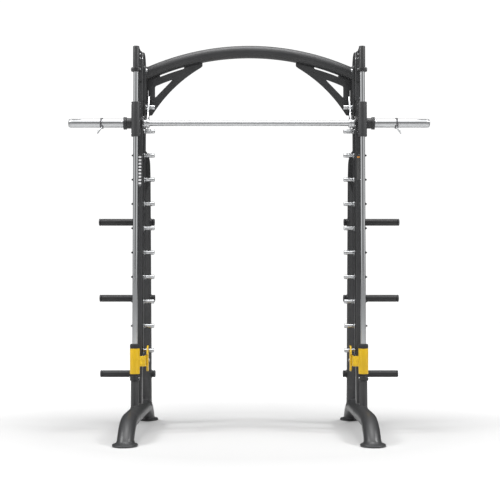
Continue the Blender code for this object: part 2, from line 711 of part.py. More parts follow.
def rod_socket_top(name):
    """A capped tube over the rod's end, with a block back to a flange on the column."""
    edge = 0.002
    profile = [(TOP_SOCKET_BOTTOM, TOP_SOCKET_RADIUS), (TOP_SOCKET_TOP - edge, TOP_SOCKET_RADIUS),
               (TOP_SOCKET_TOP, TOP_SOCKET_RADIUS - edge)]
    socket = turned(name, profile, (SIDE_X, ROD_Y, 0), (0, 0, 1))
    flange_back = COLUMN_FRONT_Y - CONTACT_GAP
    flange_front = flange_back - TOP_FLANGE_THICKNESS
    half = 0.92 * TOP_SOCKET_RADIUS
    block_back = flange_front + 0.001
    block_edge = [(ROD_Y, TOP_SOCKET_BOTTOM + 0.012), (block_back, TOP_SOCKET_BOTTOM + 0.024),
                  (block_back, TOP_SOCKET_TOP - 0.018), (flange_front - 0.02, TOP_SOCKET_TOP - 0.006),
                  (ROD_Y, TOP_SOCKET_TOP - 0.003)]
    block = prism("block", block_edge, SIDE_X - half, SIDE_X + half, "X")
    flange_top = COLUMN_CROWN + TOP_FLANGE_RISE
    wide = COLUMN_WIDTH / 2 - COLUMN_EDGE_RADIUS
    flange_low = flange_top - TOP_FLANGE_HEIGHT
    flange_edge = [(flange_front, flange_low), (flange_back, flange_low), (flange_back, flange_top),
                   (flange_front, flange_top)]
    flange = prism("flange", flange_edge, SIDE_X - wide, SIDE_X + wide, "X")
    bore_end = ROD_TOP + CONTACT_GAP
    bore = [(TOP_SOCKET_BOTTOM - 0.01, ROD_RADIUS + CONTACT_GAP), (bore_end, ROD_RADIUS + CONTACT_GAP)]
    return cut(join(socket, block, flange), turned("bore", bore, (SIDE_X, ROD_Y, 0), (0, 0, 1)))


def rod_ring_top(name):
    top = TOP_SOCKET_BOTTOM - CONTACT_GAP
    bottom = top - TOP_RING_HEIGHT
    edge = 0.002
    outer = [(bottom, TOP_RING_RADIUS - edge), (bottom + edge, TOP_RING_RADIUS),
             (top - edge, TOP_RING_RADIUS), (top, TOP_RING_RADIUS - edge)]
    return hollow_turned(name, outer, bottom, top, ROD_RADIUS + CONTACT_GAP, (SIDE_X, ROD_Y, 0), (0, 0, 1))


def rod_socket_bottom(name):
    """A tube that stands on the base and holds the rod's foot."""
    profile = [(BASE_AXIS_HEIGHT, BOTTOM_SOCKET_RADIUS), (BOTTOM_SOCKET_TOP, BOTTOM_SOCKET_RADIUS)]
    socket = turned(name, profile, (SIDE_X, ROD_Y, 0), (0, 0, 1))
    floor = ROD_BOTTOM - CONTACT_GAP
    bore = [(floor, ROD_RADIUS + CONTACT_GAP), (BOTTOM_SOCKET_TOP + 0.01, ROD_RADIUS + CONTACT_GAP)]
    return cut(socket, base_body("saddle", CONTACT_GAP), turned("bore", bore, (SIDE_X, ROD_Y, 0), (0, 0, 1)))


def rod_ring_bottom(name):
    """A ring round the rod's foot, with a rubber band on top that the safety stop rests on."""
    bottom = BOTTOM_SOCKET_TOP + CONTACT_GAP
    band_top = BOTTOM_RING_TOP + RUBBER_BAND_HEIGHT
    outer = [(bottom, BOTTOM_SOCKET_RADIUS), (bottom + 0.004, BOTTOM_RING_RADIUS - 0.001),
             (BOTTOM_RING_TOP - 0.002, BOTTOM_RING_RADIUS), (BOTTOM_RING_TOP, BOTTOM_RING_RADIUS - 0.002),
             (band_top - 0.001, BOTTOM_RING_RADIUS - 0.002), (band_top, BOTTOM_RING_RADIUS - 0.003)]
    axis_foot = (SIDE_X, ROD_Y, 0)
    return hollow_turned(name, outer, bottom, band_top, ROD_RADIUS + CONTACT_GAP, axis_foot, (0, 0, 1))


# ---------------------------------------------------------------- pegs


def peg(name, base_x, height):
    """A round peg along X from base_x inwards to its domed tip."""
    profile = [(PEG_TIP_X, PEG_RADIUS - PEG_NOSE), (PEG_TIP_X + PEG_NOSE, PEG_RADIUS), (base_x, PEG_RADIUS)]
    return turned(name, profile, (0, PEG_Y, height), (1, 0, 0), ROUND_SMALL)


def peg_rail(name):
    """A flat strip on the column's inner face, with a peg at every pitch below the top one."""
    outer = COLUMN_INNER_X - CONTACT_GAP
    inner = outer - PEG_RAIL_THICKNESS
    half = PEG_RAIL_WIDTH / 2
    low = PEG_LOWEST - PEG_RAIL_MARGIN
    high = MOUNT_PLATE_BOTTOM - 0.004
    strip_edge = [(PEG_Y - half, low), (PEG_Y + half, low), (PEG_Y + half, high), (PEG_Y - half, high)]
    rail = prism(name, strip_edge, inner, outer, "X")
    pegs = [peg("peg", outer - 0.001, PEG_LOWEST + PEG_PITCH * i) for i in range(PEG_COUNT - 1)]
    return join(rail, *pegs)


def top_peg(name):
    return peg(name, COLUMN_INNER_X - CONTACT_GAP, PEG_HIGHEST)


# ---------------------------------------------------------------- carriages


def carriage(name):
    """A tube on the rod, with the bar's housing across its back and a flange outside."""
    edge = CARRIAGE_EDGE_RADIUS
    tube_profile = [(CARRIAGE_BOTTOM, CARRIAGE_RADIUS - edge),
                    (CARRIAGE_BOTTOM + 0.3 * edge, CARRIAGE_RADIUS - 0.3 * edge),
                    (CARRIAGE_BOTTOM + edge, CARRIAGE_RADIUS),
                    (CARRIAGE_TOP - edge, CARRIAGE_RADIUS),
                    (CARRIAGE_TOP - 0.3 * edge, CARRIAGE_RADIUS - 0.3 * edge),
                    (CARRIAGE_TOP, CARRIAGE_RADIUS - edge)]
    tube = turned(name, tube_profile, (SIDE_X, ROD_Y, 0), (0, 0, 1))
    flange_end = HOUSING_OUTER_X + OUTER_FLANGE_THICKNESS
    lip = 0.003
    housing_profile = [(HOUSING_INNER_X, HOUSING_RADIUS), (HOUSING_OUTER_X, HOUSING_RADIUS),
                       (HOUSING_OUTER_X, OUTER_FLANGE_RADIUS - lip),
                       (HOUSING_OUTER_X + lip, OUTER_FLANGE_RADIUS),
                       (flange_end - lip, OUTER_FLANGE_RADIUS), (flange_end, OUTER_FLANGE_RADIUS - lip)]
    housing = turned("housing", housing_profile, (0, BAR_Y, BAR_HEIGHT), (1, 0, 0))
    rod_bore = [(CARRIAGE_BOTTOM - 0.1, CARRIAGE_BORE), (CARRIAGE_TOP + 0.1, CARRIAGE_BORE)]
    bar_bore = [(HOUSING_INNER_X - 0.1, HOUSING_BORE), (flange_end + 0.1, HOUSING_BORE)]
    return cut(join(tube, housing), turned("rod_bore", rod_bore, (SIDE_X, ROD_Y, 0), (0, 0, 1)),
               turned("bar_bore", bar_bore, (0, BAR_Y, BAR_HEIGHT), (1, 0, 0)))


def carriage_bush(at_top):
    """A plain bush in one end of the carriage."""
    low = CARRIAGE_TOP - BUSH_LENGTH if at_top else CARRIAGE_BOTTOM
    high = low + BUSH_LENGTH
    outer_radius = CARRIAGE_BORE - CONTACT_GAP
    outer = [(low, outer_radius), (high, outer_radius)]
    return lambda name: hollow_turned(name, outer, low, high, ROD_RADIUS + RUNNING_GAP,
                                      (SIDE_X, ROD_Y, 0), (0, 0, 1))


def flange_bearing(name):
    """The bar's bearing: a flange on the housing's inner end, with a spigot inside it."""
    spigot = HOUSING_BORE - CONTACT_GAP
    flange_end = HOUSING_INNER_X - CONTACT_GAP
    edge = 0.003
    outer = [(BEARING_INNER_X, BEARING_FLANGE_RADIUS - edge), (BEARING_INNER_X + edge, BEARING_FLANGE_RADIUS),
             (flange_end, BEARING_FLANGE_RADIUS), (flange_end, spigot),
             (HOUSING_INNER_X + BEARING_SPIGOT_LENGTH, spigot)]
    return hollow_turned(name, outer, BEARING_INNER_X, HOUSING_INNER_X + BEARING_SPIGOT_LENGTH,
                         BAR_RADIUS + RUNNING_GAP, (0, BAR_Y, BAR_HEIGHT), (1, 0, 0))


# ---------------------------------------------------------------- barbell


def bar_shaft():
    profile = [(-BAR_HALF, BAR_RADIUS), (BAR_HALF, BAR_RADIUS)]
    return turned("bar_shaft", profile, (0, BAR_Y, BAR_HEIGHT), (1, 0, 0))


def bar_sleeve(name):
    """The 50 mm plate sleeve, with a journal that turns in the carriage's housing."""
    start = SLEEVE_START_X - SLEEVE_JOURNAL_LENGTH
    journal = HOUSING_BORE - RUNNING_GAP
    outer = [(start, journal), (SLEEVE_START_X, journal), (SLEEVE_START_X, SLEEVE_RADIUS - 0.001),
             (SLEEVE_START_X + 0.001, SLEEVE_RADIUS), (SLEEVE_END_X - 0.001, SLEEVE_RADIUS),
             (SLEEVE_END_X, SLEEVE_RADIUS - 0.001)]
    return hollow_turned(name, outer, start, SLEEVE_END_X, BAR_RADIUS + CONTACT_GAP,
                         (0, BAR_Y, BAR_HEIGHT), (1, 0, 0), ROUND_LARGE)


def bar_end_cap(name):
    start = SLEEVE_END_X + CONTACT_GAP
    radius = SLEEVE_RADIUS - 0.001
    dome = [(start, radius)]
    for i in range(1, 5):
        turn = math.pi / 2 * i / 5
        dome.append((start + END_CAP_LENGTH * math.sin(turn), radius * math.cos(turn) ** 0.7))
    dome.append((start + END_CAP_LENGTH, 0))
    return turned(name, dome, (0, BAR_Y, BAR_HEIGHT), (1, 0, 0), ROUND_LARGE)


def turned_points(points, pivot, turn):
    """Points of (out from the pivot, across) turned about the pivot in the plane of Y and Z."""
    c, s = math.cos(turn), math.sin(turn)
    return [(pivot[0] + r * c - t * s, pivot[1] + r * s + t * c) for r, t in points]


def bar_hook(name):
    """A hook plate on the bar, resting a small turn clear of the top peg."""
    to_peg = Vector((PEG_Y - BAR_Y, PEG_HIGHEST - BAR_HEIGHT))
    reach = to_peg.length
    rest = math.atan2(to_peg.y, to_peg.x) + HOOK_TURN
    throat = PEG_RADIUS + THROAT_CLEARANCE
    inside = reach - throat
    outside = reach + throat
    tip = outside + HOOK_FINGER
    half = HOOK_HALF_WIDTH
    outline = [(0.0, -half), (0.6 * inside, -0.83 * half), (inside - 0.003, -0.75 * half),
               (inside, -0.62 * half)]
    outline += [(x, y) for x, y in arc((reach, 0), throat, math.pi, 0, 8)]
    outline += [(outside, -0.005), (outside + 0.002, -0.007), (tip - 0.002, -0.006), (tip, -0.002)]
    outline += arc((tip - 0.020, throat + HOOK_BACK - 0.020), 0.020, 0, math.pi / 2, 4)
    outline += [(0.75 * inside, throat + HOOK_BACK), (0.4 * inside, 0.92 * half), (0.0, half)]
    pivot = (BAR_Y, BAR_HEIGHT)
    low = HOOK_X - HOOK_THICKNESS / 2
    high = HOOK_X + HOOK_THICKNESS / 2
    arm = prism(name, turned_points(outline, pivot, rest), low, high, "X")
    hub_end = BEARING_INNER_X - 0.0015
    hub_profile = [(low - 0.006, HOOK_BOSS_RADIUS - 0.002), (low - 0.0001, HOOK_BOSS_RADIUS),
                   (low - 0.0001, HOOK_HUB_RADIUS), (high + 0.0001, HOOK_HUB_RADIUS),
                   (high + 0.0001, HOOK_BOSS_RADIUS), (hub_end, HOOK_BOSS_RADIUS)]
    hub = turned("hub", hub_profile, (0, BAR_Y, BAR_HEIGHT), (1, 0, 0))
    bore = [(low - 0.05, BAR_RADIUS + CONTACT_GAP), (high + 0.05, BAR_RADIUS + CONTACT_GAP)]
    return cut(join(arm, hub), turned("bore", bore, (0, BAR_Y, BAR_HEIGHT), (1, 0, 0)))


def collar_path():
    """A coil round the sleeve whose two ends run out into handles."""
    coil = SLEEVE_RADIUS + RUNNING_GAP + COLLAR_WIRE_RADIUS
    length = COLLAR_TURNS * COLLAR_COIL_PITCH
    total = COLLAR_TURNS * 2 * math.pi
    first = -math.pi / 2 - total / 2
    steps = round(COLLAR_TURNS * 18)
    points = []
    for i in range(steps + 1):
        turn = first + total * i / steps
        along = -length / 2 + length * i / steps
        points.append(Vector((along, coil * math.cos(turn), coil * math.sin(turn))))
    for end, neighbour, where in ((points[0], points[1], 0), (points[-1], points[-2], len(points))):
        outwards = Vector((0, end.y, end.z)).normalized()
        onwards = (end - neighbour).normalized()
        handle = outwards * math.cos(COLLAR_HANDLE_LEAN) + Vector((math.sin(COLLAR_HANDLE_LEAN), 0, 0))
        leg = [end + onwards * 0.004 + outwards * 0.002,
               end + onwards * 0.008 + outwards * 0.008,
               end + onwards * 0.009 + outwards * 0.008 + handle * COLLAR_HANDLE]
        if where == 0:
            points = leg[::-1] + points
        else:
            points = points + leg
    return points


def spring_collar(name):
    """One wire, swept along the coil and both handles with a frame carried along it."""
    path = collar_path()
    side = Vector((1, 0, 0))
    rings = []
    for i, point in enumerate(path):
        along = (path[min(i + 1, len(path) - 1)] - path[max(i - 1, 0)]).normalized()
        side = (side - along * side.dot(along)).normalized()
        place = Vector((COLLAR_X, BAR_Y, BAR_HEIGHT)) + point
        rings.append(circle_ring(place, side, along.cross(side), COLLAR_WIRE_RADIUS, 6))
    return mesh_object(name, loft(rings))


# ---------------------------------------------------------------- safety stops


def stop_sleeve(name):
    """A tube on the rod with a bent arm that reaches back beside the pegs."""
    edge = 0.002
    profile = [(STOP_BOTTOM, STOP_RADIUS - edge), (STOP_BOTTOM + edge, STOP_RADIUS),
               (STOP_TOP - edge, STOP_RADIUS), (STOP_TOP, STOP_RADIUS - edge)]
    sleeve = turned(name, profile, (SIDE_X, ROD_Y, 0), (0, 0, 1))
    near = STOP_ARM_INNER_X
    far = near + STOP_ARM_THICKNESS
    back = STOP_PIVOT_Y + 0.009
    bend = ROD_Y + STOP_RADIUS + STOP_ARM_OFFSET
    root_x = SIDE_X - 0.012
    plan = [(root_x, ROD_Y + 0.004), (near, bend - 0.010), (near, back), (far, back), (far, bend),
            (root_x, ROD_Y + 0.018)]
    half = STOP_ARM_HEIGHT / 2
    arm = prism("arm", plan, STOP_PIVOT_Z - half, STOP_PIVOT_Z + half, "Z")
    bore = [(STOP_BOTTOM - 0.1, ROD_RADIUS + RUNNING_GAP), (STOP_TOP + 0.1, ROD_RADIUS + RUNNING_GAP)]
    pivot_radius = STOP_PIVOT_RADIUS + RUNNING_GAP
    pivot = [(near - 0.01, pivot_radius), (far + 0.01, pivot_radius)]
    return cut(join(sleeve, arm), turned("bore", bore, (SIDE_X, ROD_Y, 0), (0, 0, 1)),
               turned("pivot", pivot, (0, STOP_PIVOT_Y, STOP_PIVOT_Z), (1, 0, 0), ROUND_SMALL))


def stop_ring(name):
    """The rubber ring that takes the carriage's landing."""
    bottom = STOP_TOP + CONTACT_GAP
    top = bottom + STOP_RING_HEIGHT
    edge = 0.004
    outer = [(bottom, STOP_RADIUS - 0.001), (bottom + 0.001, STOP_RADIUS), (top - edge, STOP_RADIUS),
             (top - 0.3 * edge, STOP_RADIUS - 0.3 * edge), (top, STOP_RADIUS - edge)]
    return hollow_turned(name, outer, bottom, top, ROD_RADIUS + RUNNING_GAP, (SIDE_X, ROD_Y, 0), (0, 0, 1))


def stop_hook(name):
    """A rocking plate with a notch for the peg, resting a turn clear of it."""
    to_peg = Vector((PEG_Y - STOP_PIVOT_Y, PEG_LOWEST - STOP_PIVOT_Z))
    reach = to_peg.length
    rest = math.atan2(to_peg.y, to_peg.x) + STOP_HOOK_TURN
    throat = PEG_RADIUS + THROAT_CLEARANCE
    rear = STOP_HOOK_REAR
    top = reach + throat + 0.008
    front = STOP_HOOK_WIDTH
    low = -STOP_HOOK_LOWER_LOBE
    outline = [(low + 0.004, -rear), (reach - throat, -rear)]
    outline += arc((reach, 0), throat, math.pi, 0, 8)
    outline += [(reach + throat, -rear), (top - 0.003, -rear), (top, -rear + 0.003), (top, 0.026),
                (top - 0.012, 0.042), (0.034, front), (0.030, front - 0.010), (-0.030, front - 0.010),
                (-0.034, front), (low + 0.008, front - 0.004), (low, 0.040), (low, -rear + 0.004)]
    pivot = (STOP_PIVOT_Y, STOP_PIVOT_Z)
    plate_high = STOP_ARM_INNER_X - RUNNING_GAP
    plate_low = plate_high - STOP_HOOK_THICKNESS
    plate = prism(name, turned_points(outline, pivot, rest), plate_low, plate_high, "X")
    arm_far = STOP_ARM_INNER_X + STOP_ARM_THICKNESS
    head = 1.7 * STOP_PIVOT_RADIUS
    pin_profile = [(plate_low - 0.004, head), (plate_low + 0.001, head),
                   (plate_low + 0.001, STOP_PIVOT_RADIUS), (arm_far + RUNNING_GAP, STOP_PIVOT_RADIUS),
                   (arm_far + RUNNING_GAP, head), (arm_far + 0.005, head)]
    pin = turned("pin", pin_profile, (0, STOP_PIVOT_Y, STOP_PIVOT_Z), (1, 0, 0), ROUND_SMALL)
    return join(plate, pin)


# ---------------------------------------------------------------- assembly


def build():
    clear_scene()
    frame_paint = material("frame_paint", (0.105, 0.106, 0.110), 0.45, 0.3)
    dark_paint = material("dark_paint", (0.045, 0.046, 0.050), 0.4, 0.2)
    chrome = material("chrome", (0.78, 0.79, 0.80), 0.12, 1.0)
    yellow = material("safety_yellow", (0.86, 0.60, 0.03), 0.4, 0.0)
    rubber = material("black_rubber", (0.02, 0.02, 0.02), 0.75, 0.0)
    nylon = material("bearing_nylon", (0.03, 0.03, 0.03), 0.5, 0.0)

    both_sides("base_tube", base_tube, frame_paint)
    both_sides("foot_front", lambda name: foot_plate(name, -1), frame_paint)
    both_sides("foot_rear", lambda name: foot_plate(name, 1), frame_paint)
    both_sides("column", column, frame_paint)
    both_sides("rear_brace", rear_brace, frame_paint)
    for i in range(HORN_COUNT):
        both_sides(f"storage_horn_{i + 1}", storage_horn(i), dark_paint)
    finish(arch_tube(), frame_paint)
    both_sides("arch_mount_plate", arch_mount_plate, frame_paint)
    both_sides("gusset", gusset, frame_paint)
    both_sides("guide_rod", guide_rod, chrome)
    both_sides("rod_socket_top", rod_socket_top, frame_paint)
    both_sides("rod_ring_top", rod_ring_top, dark_paint)
    both_sides("rod_socket_bottom", rod_socket_bottom, frame_paint)
    both_sides("rod_ring_bottom", rod_ring_bottom, dark_paint)
    both_sides("peg_rail", peg_rail, chrome)
    both_sides("top_peg", top_peg, chrome)

    carriages = both_sides("carriage", carriage, frame_paint)
    carriages += both_sides("bush_upper", carriage_bush(True), nylon)
    carriages += both_sides("bush_lower", carriage_bush(False), nylon)
    carriages += both_sides("flange_bearing", flange_bearing, dark_paint)
    slide = joint_empty("carriage_slide", (0, ROD_Y, BAR_HEIGHT), carriages)

    barbell = (finish(bar_shaft(), chrome),)
    barbell += both_sides("bar_sleeve", bar_sleeve, chrome)
    barbell += both_sides("bar_end_cap", bar_end_cap, dark_paint)
    barbell += both_sides("bar_hook", bar_hook, chrome)
    bar_turn = joint_empty("bar_turn", (0, BAR_Y, BAR_HEIGHT), barbell, slide)

    collars = both_sides("spring_collar", spring_collar, chrome)
    sleeves = both_sides("stop_sleeve", stop_sleeve, yellow)
    rings = both_sides("stop_ring", stop_ring, rubber)
    hooks = both_sides("stop_hook", stop_hook, yellow)
    for i, (side, way) in enumerate((("left", -1), ("right", 1))):
        joint_empty("collar_slide_" + side, (way * COLLAR_X, BAR_Y, BAR_HEIGHT), [collars[i]], bar_turn)
        stop = joint_empty("stop_slide_" + side, (way * SIDE_X, ROD_Y, STOP_BOTTOM), [sleeves[i], rings[i]])
        joint_empty("stop_hook_turn_" + side, (way * STOP_ARM_INNER_X, STOP_PIVOT_Y, STOP_PIVOT_Z),
                    [hooks[i]], stop)


build()
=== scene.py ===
"""Looks for the smith machine: a fine surface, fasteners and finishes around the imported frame.

X is across the machine, Y runs from front to back, Z is up, in metres. Side pieces are
designed for the right side (X > 0) and mirrored for the left side.
"""

import math

import bmesh
import bpy
from mathutils import Matrix, Vector


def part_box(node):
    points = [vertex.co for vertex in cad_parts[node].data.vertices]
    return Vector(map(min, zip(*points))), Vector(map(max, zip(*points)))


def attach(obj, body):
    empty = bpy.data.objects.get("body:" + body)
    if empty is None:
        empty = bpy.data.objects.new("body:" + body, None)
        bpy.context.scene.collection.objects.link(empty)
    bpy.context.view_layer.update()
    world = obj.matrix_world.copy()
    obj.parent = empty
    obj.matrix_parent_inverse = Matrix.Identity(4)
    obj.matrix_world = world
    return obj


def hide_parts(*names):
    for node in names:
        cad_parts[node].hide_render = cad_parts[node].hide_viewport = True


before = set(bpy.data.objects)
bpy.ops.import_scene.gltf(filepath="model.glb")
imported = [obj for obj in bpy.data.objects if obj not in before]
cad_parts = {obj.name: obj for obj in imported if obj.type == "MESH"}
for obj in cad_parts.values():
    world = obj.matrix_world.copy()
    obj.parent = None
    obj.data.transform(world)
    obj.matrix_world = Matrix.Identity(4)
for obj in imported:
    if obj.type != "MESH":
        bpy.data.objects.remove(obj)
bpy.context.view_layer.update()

# ---------------- places, from the frame


class Span:
    """The box of a CAD node: low and high corners, centre and size."""

    def __init__(self, node):
        low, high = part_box(node)
        self.low = Vector(low)
        self.high = Vector(high)
        self.centre = (self.low + self.high) / 2
        self.size = self.high - self.low


ROD = Span("guide_rod_right")
COLUMN = Span("column_right")
BASE = Span("base_tube_right")
FOOT = Span("foot_rear_right")
ARCH = Span("arch_tube")
MOUNT = Span("arch_mount_plate_right")
GUSSET = Span("gusset_right")
TOP_SOCKET = Span("rod_socket_top_right")
TOP_RING = Span("rod_ring_top_right")
LOW_SOCKET = Span("rod_socket_bottom_right")
LOW_RING = Span("rod_ring_bottom_right")
RAIL = Span("peg_rail_right")
TOP_PEG = Span("top_peg_right")
CARRIAGE = Span("carriage_right")
BUSH = Span("bush_upper_right")
BEARING = Span("flange_bearing_right")
SHAFT = Span("bar_shaft")
SLEEVE = Span("bar_sleeve_right")
CAP = Span("bar_end_cap_right")
COLLAR = Span("spring_collar_right")
STOP = Span("stop_sleeve_right")
STOP_RING = Span("stop_ring_right")

UP = Vector((0, 0, 1))
ACROSS = Vector((1, 0, 0))
ROD_AXIS = Vector((ROD.centre.x, ROD.centre.y, 0))
BAR_AXIS = Vector((0, SHAFT.centre.y, SHAFT.centre.z))

# ---------------- sizes shared with the frame

FINE = 64                 # facets round a large tube
MEDIUM = 40
COARSE = 20

BASE_RADIUS = 0.0445
BASE_AXIS_HEIGHT = 0.108
BASE_STRAIGHT_HALF = 0.406
BASE_BEND_RADIUS = 0.300
PLATE_THICKNESS = 0.013   # of a foot
COLUMN_FOOT_DEPTH = 0.075
COLUMN_TAPER = (0.55, 1.45)
BRACE_RADIUS = 0.0445
BRACE_FOOT_Y = 0.424
BRACE_LEAN = 0.1076
BRACE_BEND_HEIGHT = 1.42
BRACE_BEND_RADIUS = 0.45
BRACE_BEND_ANGLE = math.radians(20)
ARCH_RADIUS = 1.450
ARCH_TUBE_RADIUS = ARCH.size.y / 2
PEG_COUNT = 11
PEG_PITCH = 0.1409
PEG_RADIUS = 0.0125
HORN_COUNT = 3
SOCKET_RADIUS = 0.018
BLOCK_HALF_WIDTH = 0.92 * SOCKET_RADIUS
FLANGE_THICKNESS = 0.006
CARRIAGE_RADIUS = 0.026
HOUSING_RADIUS = 0.030
HOUSING_BORE = 0.024
HOUSING_OUTER_X = 0.6975
HOOK_X = 0.5775
HOOK_THICKNESS = 0.008
HOOK_SCREW_X = 0.5905     # of the set screws in the hook's hub
HOOK_TURN = math.radians(16)
STOP_HOOK_TURN = math.radians(25)
STOP_PIVOT_BEFORE_PEG = 0.027
STOP_ARM_BELOW_PEG = 0.0542
STOP_ARM_HEIGHT = 0.058
STOP_ARM_THICKNESS = 0.008
STOP_ARM_INNER_X = 0.584
GUSSET_TIP_HEIGHT = 0.020
GUSSET_FOOT_WIDTH = 0.031
GUSSET_FOOT_RISE = 0.010
GUSSET_LOWER_SAGITTA = 0.024
GUSSET_SLOT_DEPTH = 0.0095
GUSSET_RIM = 0.048
THROAT_CLEARANCE = 0.002
GAP = 0.0003              # between pieces that touch
RUNNING_GAP = 0.0005      # between pieces that slide or turn
BEAD_LIFT = 0.0006        # of a weld's middle line off the surface
WASHER_THICKNESS = 0.0016
SPIGOT_RADIUS = 0.0235    # of the bearing and the sleeve inside the housing
HUB_RADIUS = 0.024        # of the bar's hook

PEG_Y = TOP_PEG.centre.y
PEG_HIGHEST = TOP_PEG.centre.z
PEG_LOWEST = PEG_HIGHEST - PEG_PITCH * (PEG_COUNT - 1)


# ---------------- mesh tools


def placed(name, shape):
    """An object that holds a bmesh, which is freed."""
    data = bpy.data.meshes.new(name)
    shape.to_mesh(data)
    shape.free()
    made = bpy.data.objects.new(name, data)
    bpy.context.scene.collection.objects.link(made)
    return made


def new_object(name, shape):
    """The same, with its faces turned outwards."""
    bmesh.ops.recalc_face_normals(shape, faces=shape.faces)
    return placed(name, shape)


def apply_modifiers(item):
    graph = bpy.context.evaluated_depsgraph_get()
    graph.update()
    done = bpy.data.meshes.new_from_object(item.evaluated_get(graph))
    item.modifiers.clear()
    item.data = done
    return item


def bevelled(item, width, segments=3, angle=30):
    rounding = item.modifiers.new("bevel", "BEVEL")
    rounding.width = width
    rounding.segments = segments
    rounding.limit_method = "ANGLE"
    rounding.angle_limit = math.radians(angle)
    return apply_modifiers(item)


def cut(item, tool):
    boolean = item.modifiers.new("cut", "BOOLEAN")
    boolean.operation = "DIFFERENCE"
    boolean.solver = "EXACT"
    boolean.object = tool
    apply_modifiers(item)
    bpy.data.objects.remove(tool, do_unlink=True)
    return item


def merged(name, items):
    """One object from several, which are used up."""
    shape = bmesh.new()
    for item in items:
        shape.from_mesh(item.data)
        bpy.data.objects.remove(item, do_unlink=True)
    return placed(name, shape)


def loft(rings, closed=False, capped=True):
    """A skin through rings of points; a ring of one point is a tip."""
    shape = bmesh.new()
    loops = [[shape.verts.new(point) for point in ring] for ring in rings]
    pairs = list(zip(loops, loops[1:]))
    if closed:
        pairs.append((loops[-1], loops[0]))
    for lower, upper in pairs:
        count = max(len(lower), len(upper))
        for i in range(count):
            j = (i + 1) % count
            corners = [lower[i % len(lower)], lower[j % len(lower)], upper[j % len(upper)],
                upper[i % len(upper)]]
            shape.faces.new(dict.fromkeys(corners))
    if capped and not closed:
        for ring in (loops[0], loops[-1]):
            if len(ring) > 2:
                shape.faces.new(ring)
    return shape


def turns(count):
    """Angles evenly round a full turn."""
    return [2 * math.pi * i / count for i in range(count)]


def circle(centre, side, up, radius, count):
    return [centre + radius * (math.cos(a) * side + math.sin(a) * up) for a in turns(count)]


def rounded(points, radius, steps=4, closed=False):
    """A polyline of pairs whose corners are replaced by curves that start radius away."""
    points = [Vector(p) for p in points]
    count = len(points)
    out = []
    for i, point in enumerate(points):
        if not closed and i in (0, count - 1):
            out.append(point)
            continue
        before = points[i - 1] - point
        after = points[(i + 1) % count] - point
        start = point + before * min(radius / before.length, 0.48)
        end = point + after * min(radius / after.length, 0.48)
        for k in range(steps + 1):
            t = k / steps
            out.append(start * (1 - t) ** 2 + point * 2 * t * (1 - t) + end * t ** 2)
    return [tuple(p) for p in out]


def arc(centre, radius, start, end, steps):
    angles = [start + (end - start) * i / steps for i in range(steps + 1)]
    return [(centre[0] + radius * math.cos(a), centre[1] + radius * math.sin(a)) for a in angles]


def lathe(name, profile, origin, axis, count=FINE, ring=False):
    """A solid of revolution from (distance along axis, radius) pairs."""
    axis = Vector(axis)
    side = UP if abs(axis.z) < 0.5 else Vector((0, 1, 0))
    side = (side - axis * side.dot(axis)).normalized()
    up = axis.cross(side)
    rings = []
    for along, radius in profile:
        centre = Vector(origin) + axis * along
        rings.append(circle(centre, side, up, radius, count) if radius > 1e-6 else [centre])
    return new_object(name, loft(rings, closed=ring))


def soft_lathe(name, profile, edge, origin, axis, count=FINE, bore=None):
    """A turned piece whose outer corners are rounded, with a straight bore if given."""
    outer = rounded(profile, edge)
    if bore is None:
        return lathe(name, outer, origin, axis, count)
    inner = [(outer[0][0], bore), *outer, (outer[-1][0], bore)]
    return lathe(name, inner, origin, axis, count, ring=True)


def barrel(name, low, high, radius, lip, edge, origin, axis, count=FINE, bore=None):
    """A cylinder with rounded edges, whose end faces reach in to the radius lip."""
    profile = [(low, lip), (low, radius), (high, radius), (high, lip)]
    return soft_lathe(name, profile, edge, origin, axis, count, bore)


def sweep(name, path, radius, count=FINE, closed=False):
    """A round bar along a path, with a frame carried along it."""
    rings = []
    side = None
    last = len(path) - 1
    for i, point in enumerate(path):
        before = path[i - 1] if closed or i > 0 else path[0]
        after = path[(i + 1) % len(path)] if closed or i < last else path[last]
        along = (after - before).normalized()
        if side is None:
            side = ACROSS if abs(along.x) < 0.9 else UP
        side = (side - along * side.dot(along)).normalized()
        rings.append(circle(point, side, along.cross(side), radius, count))
    return new_object(name, loft(rings, closed=closed))


def prism(name, outline, low, high, axis):
    """An outline extruded along X (pairs are Y, Z), Y (X, Z) or Z (X, Y)."""
    place = {"X": lambda a, b, c: Vector((c, a, b)), "Y": lambda a, b, c: Vector((a, c, b)), "Z": lambda a, b,
        c: Vector((a, b, c)),}[axis]
    return new_object(name, loft([[place(a, b, c) for a, b in outline] for c in (low, high)]))


def rectangle(low, high):
    return [(low[0], low[1]), (high[0], low[1]), (high[0], high[1]), (low[0], high[1])]


def slab(name, outline, corner, steps, low, high, axis, edge, segments=3):
    """A plate with rounded corners and bevelled edges."""
    item = prism(name, rounded(outline, corner, steps, closed=True), low, high, axis)
    return bevelled(item, edge, segments, 50)


def mirrored(item, name):
    shape = bmesh.new()
    shape.from_mesh(item.data)
    bmesh.ops.transform(shape, matrix=Matrix.Diagonal((-1, 1, 1, 1)), verts=shape.verts)
    bmesh.ops.reverse_faces(shape, faces=shape.faces)
    return placed(name, shape)


def dress(item, body, finish, slot, node=None, smooth=32):
    """Gives a piece its material, shading and body, and hides the CAD node that it stands for."""
    item.data.materials.clear()
    item.data.materials.append(finish)
    item.data.shade_smooth()
    item.data.set_sharp_from_angle(angle=math.radians(smooth))
    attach(item, body)
    if node:
        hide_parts(node)
    return item


def pair(name, right, body, finish, slot, smooth=32):
    """Dresses a right-side piece and its mirror image, which stand for the CAD nodes name_side."""
    extra_pair(name, right, body, finish, slot, smooth, name + "_{side}")


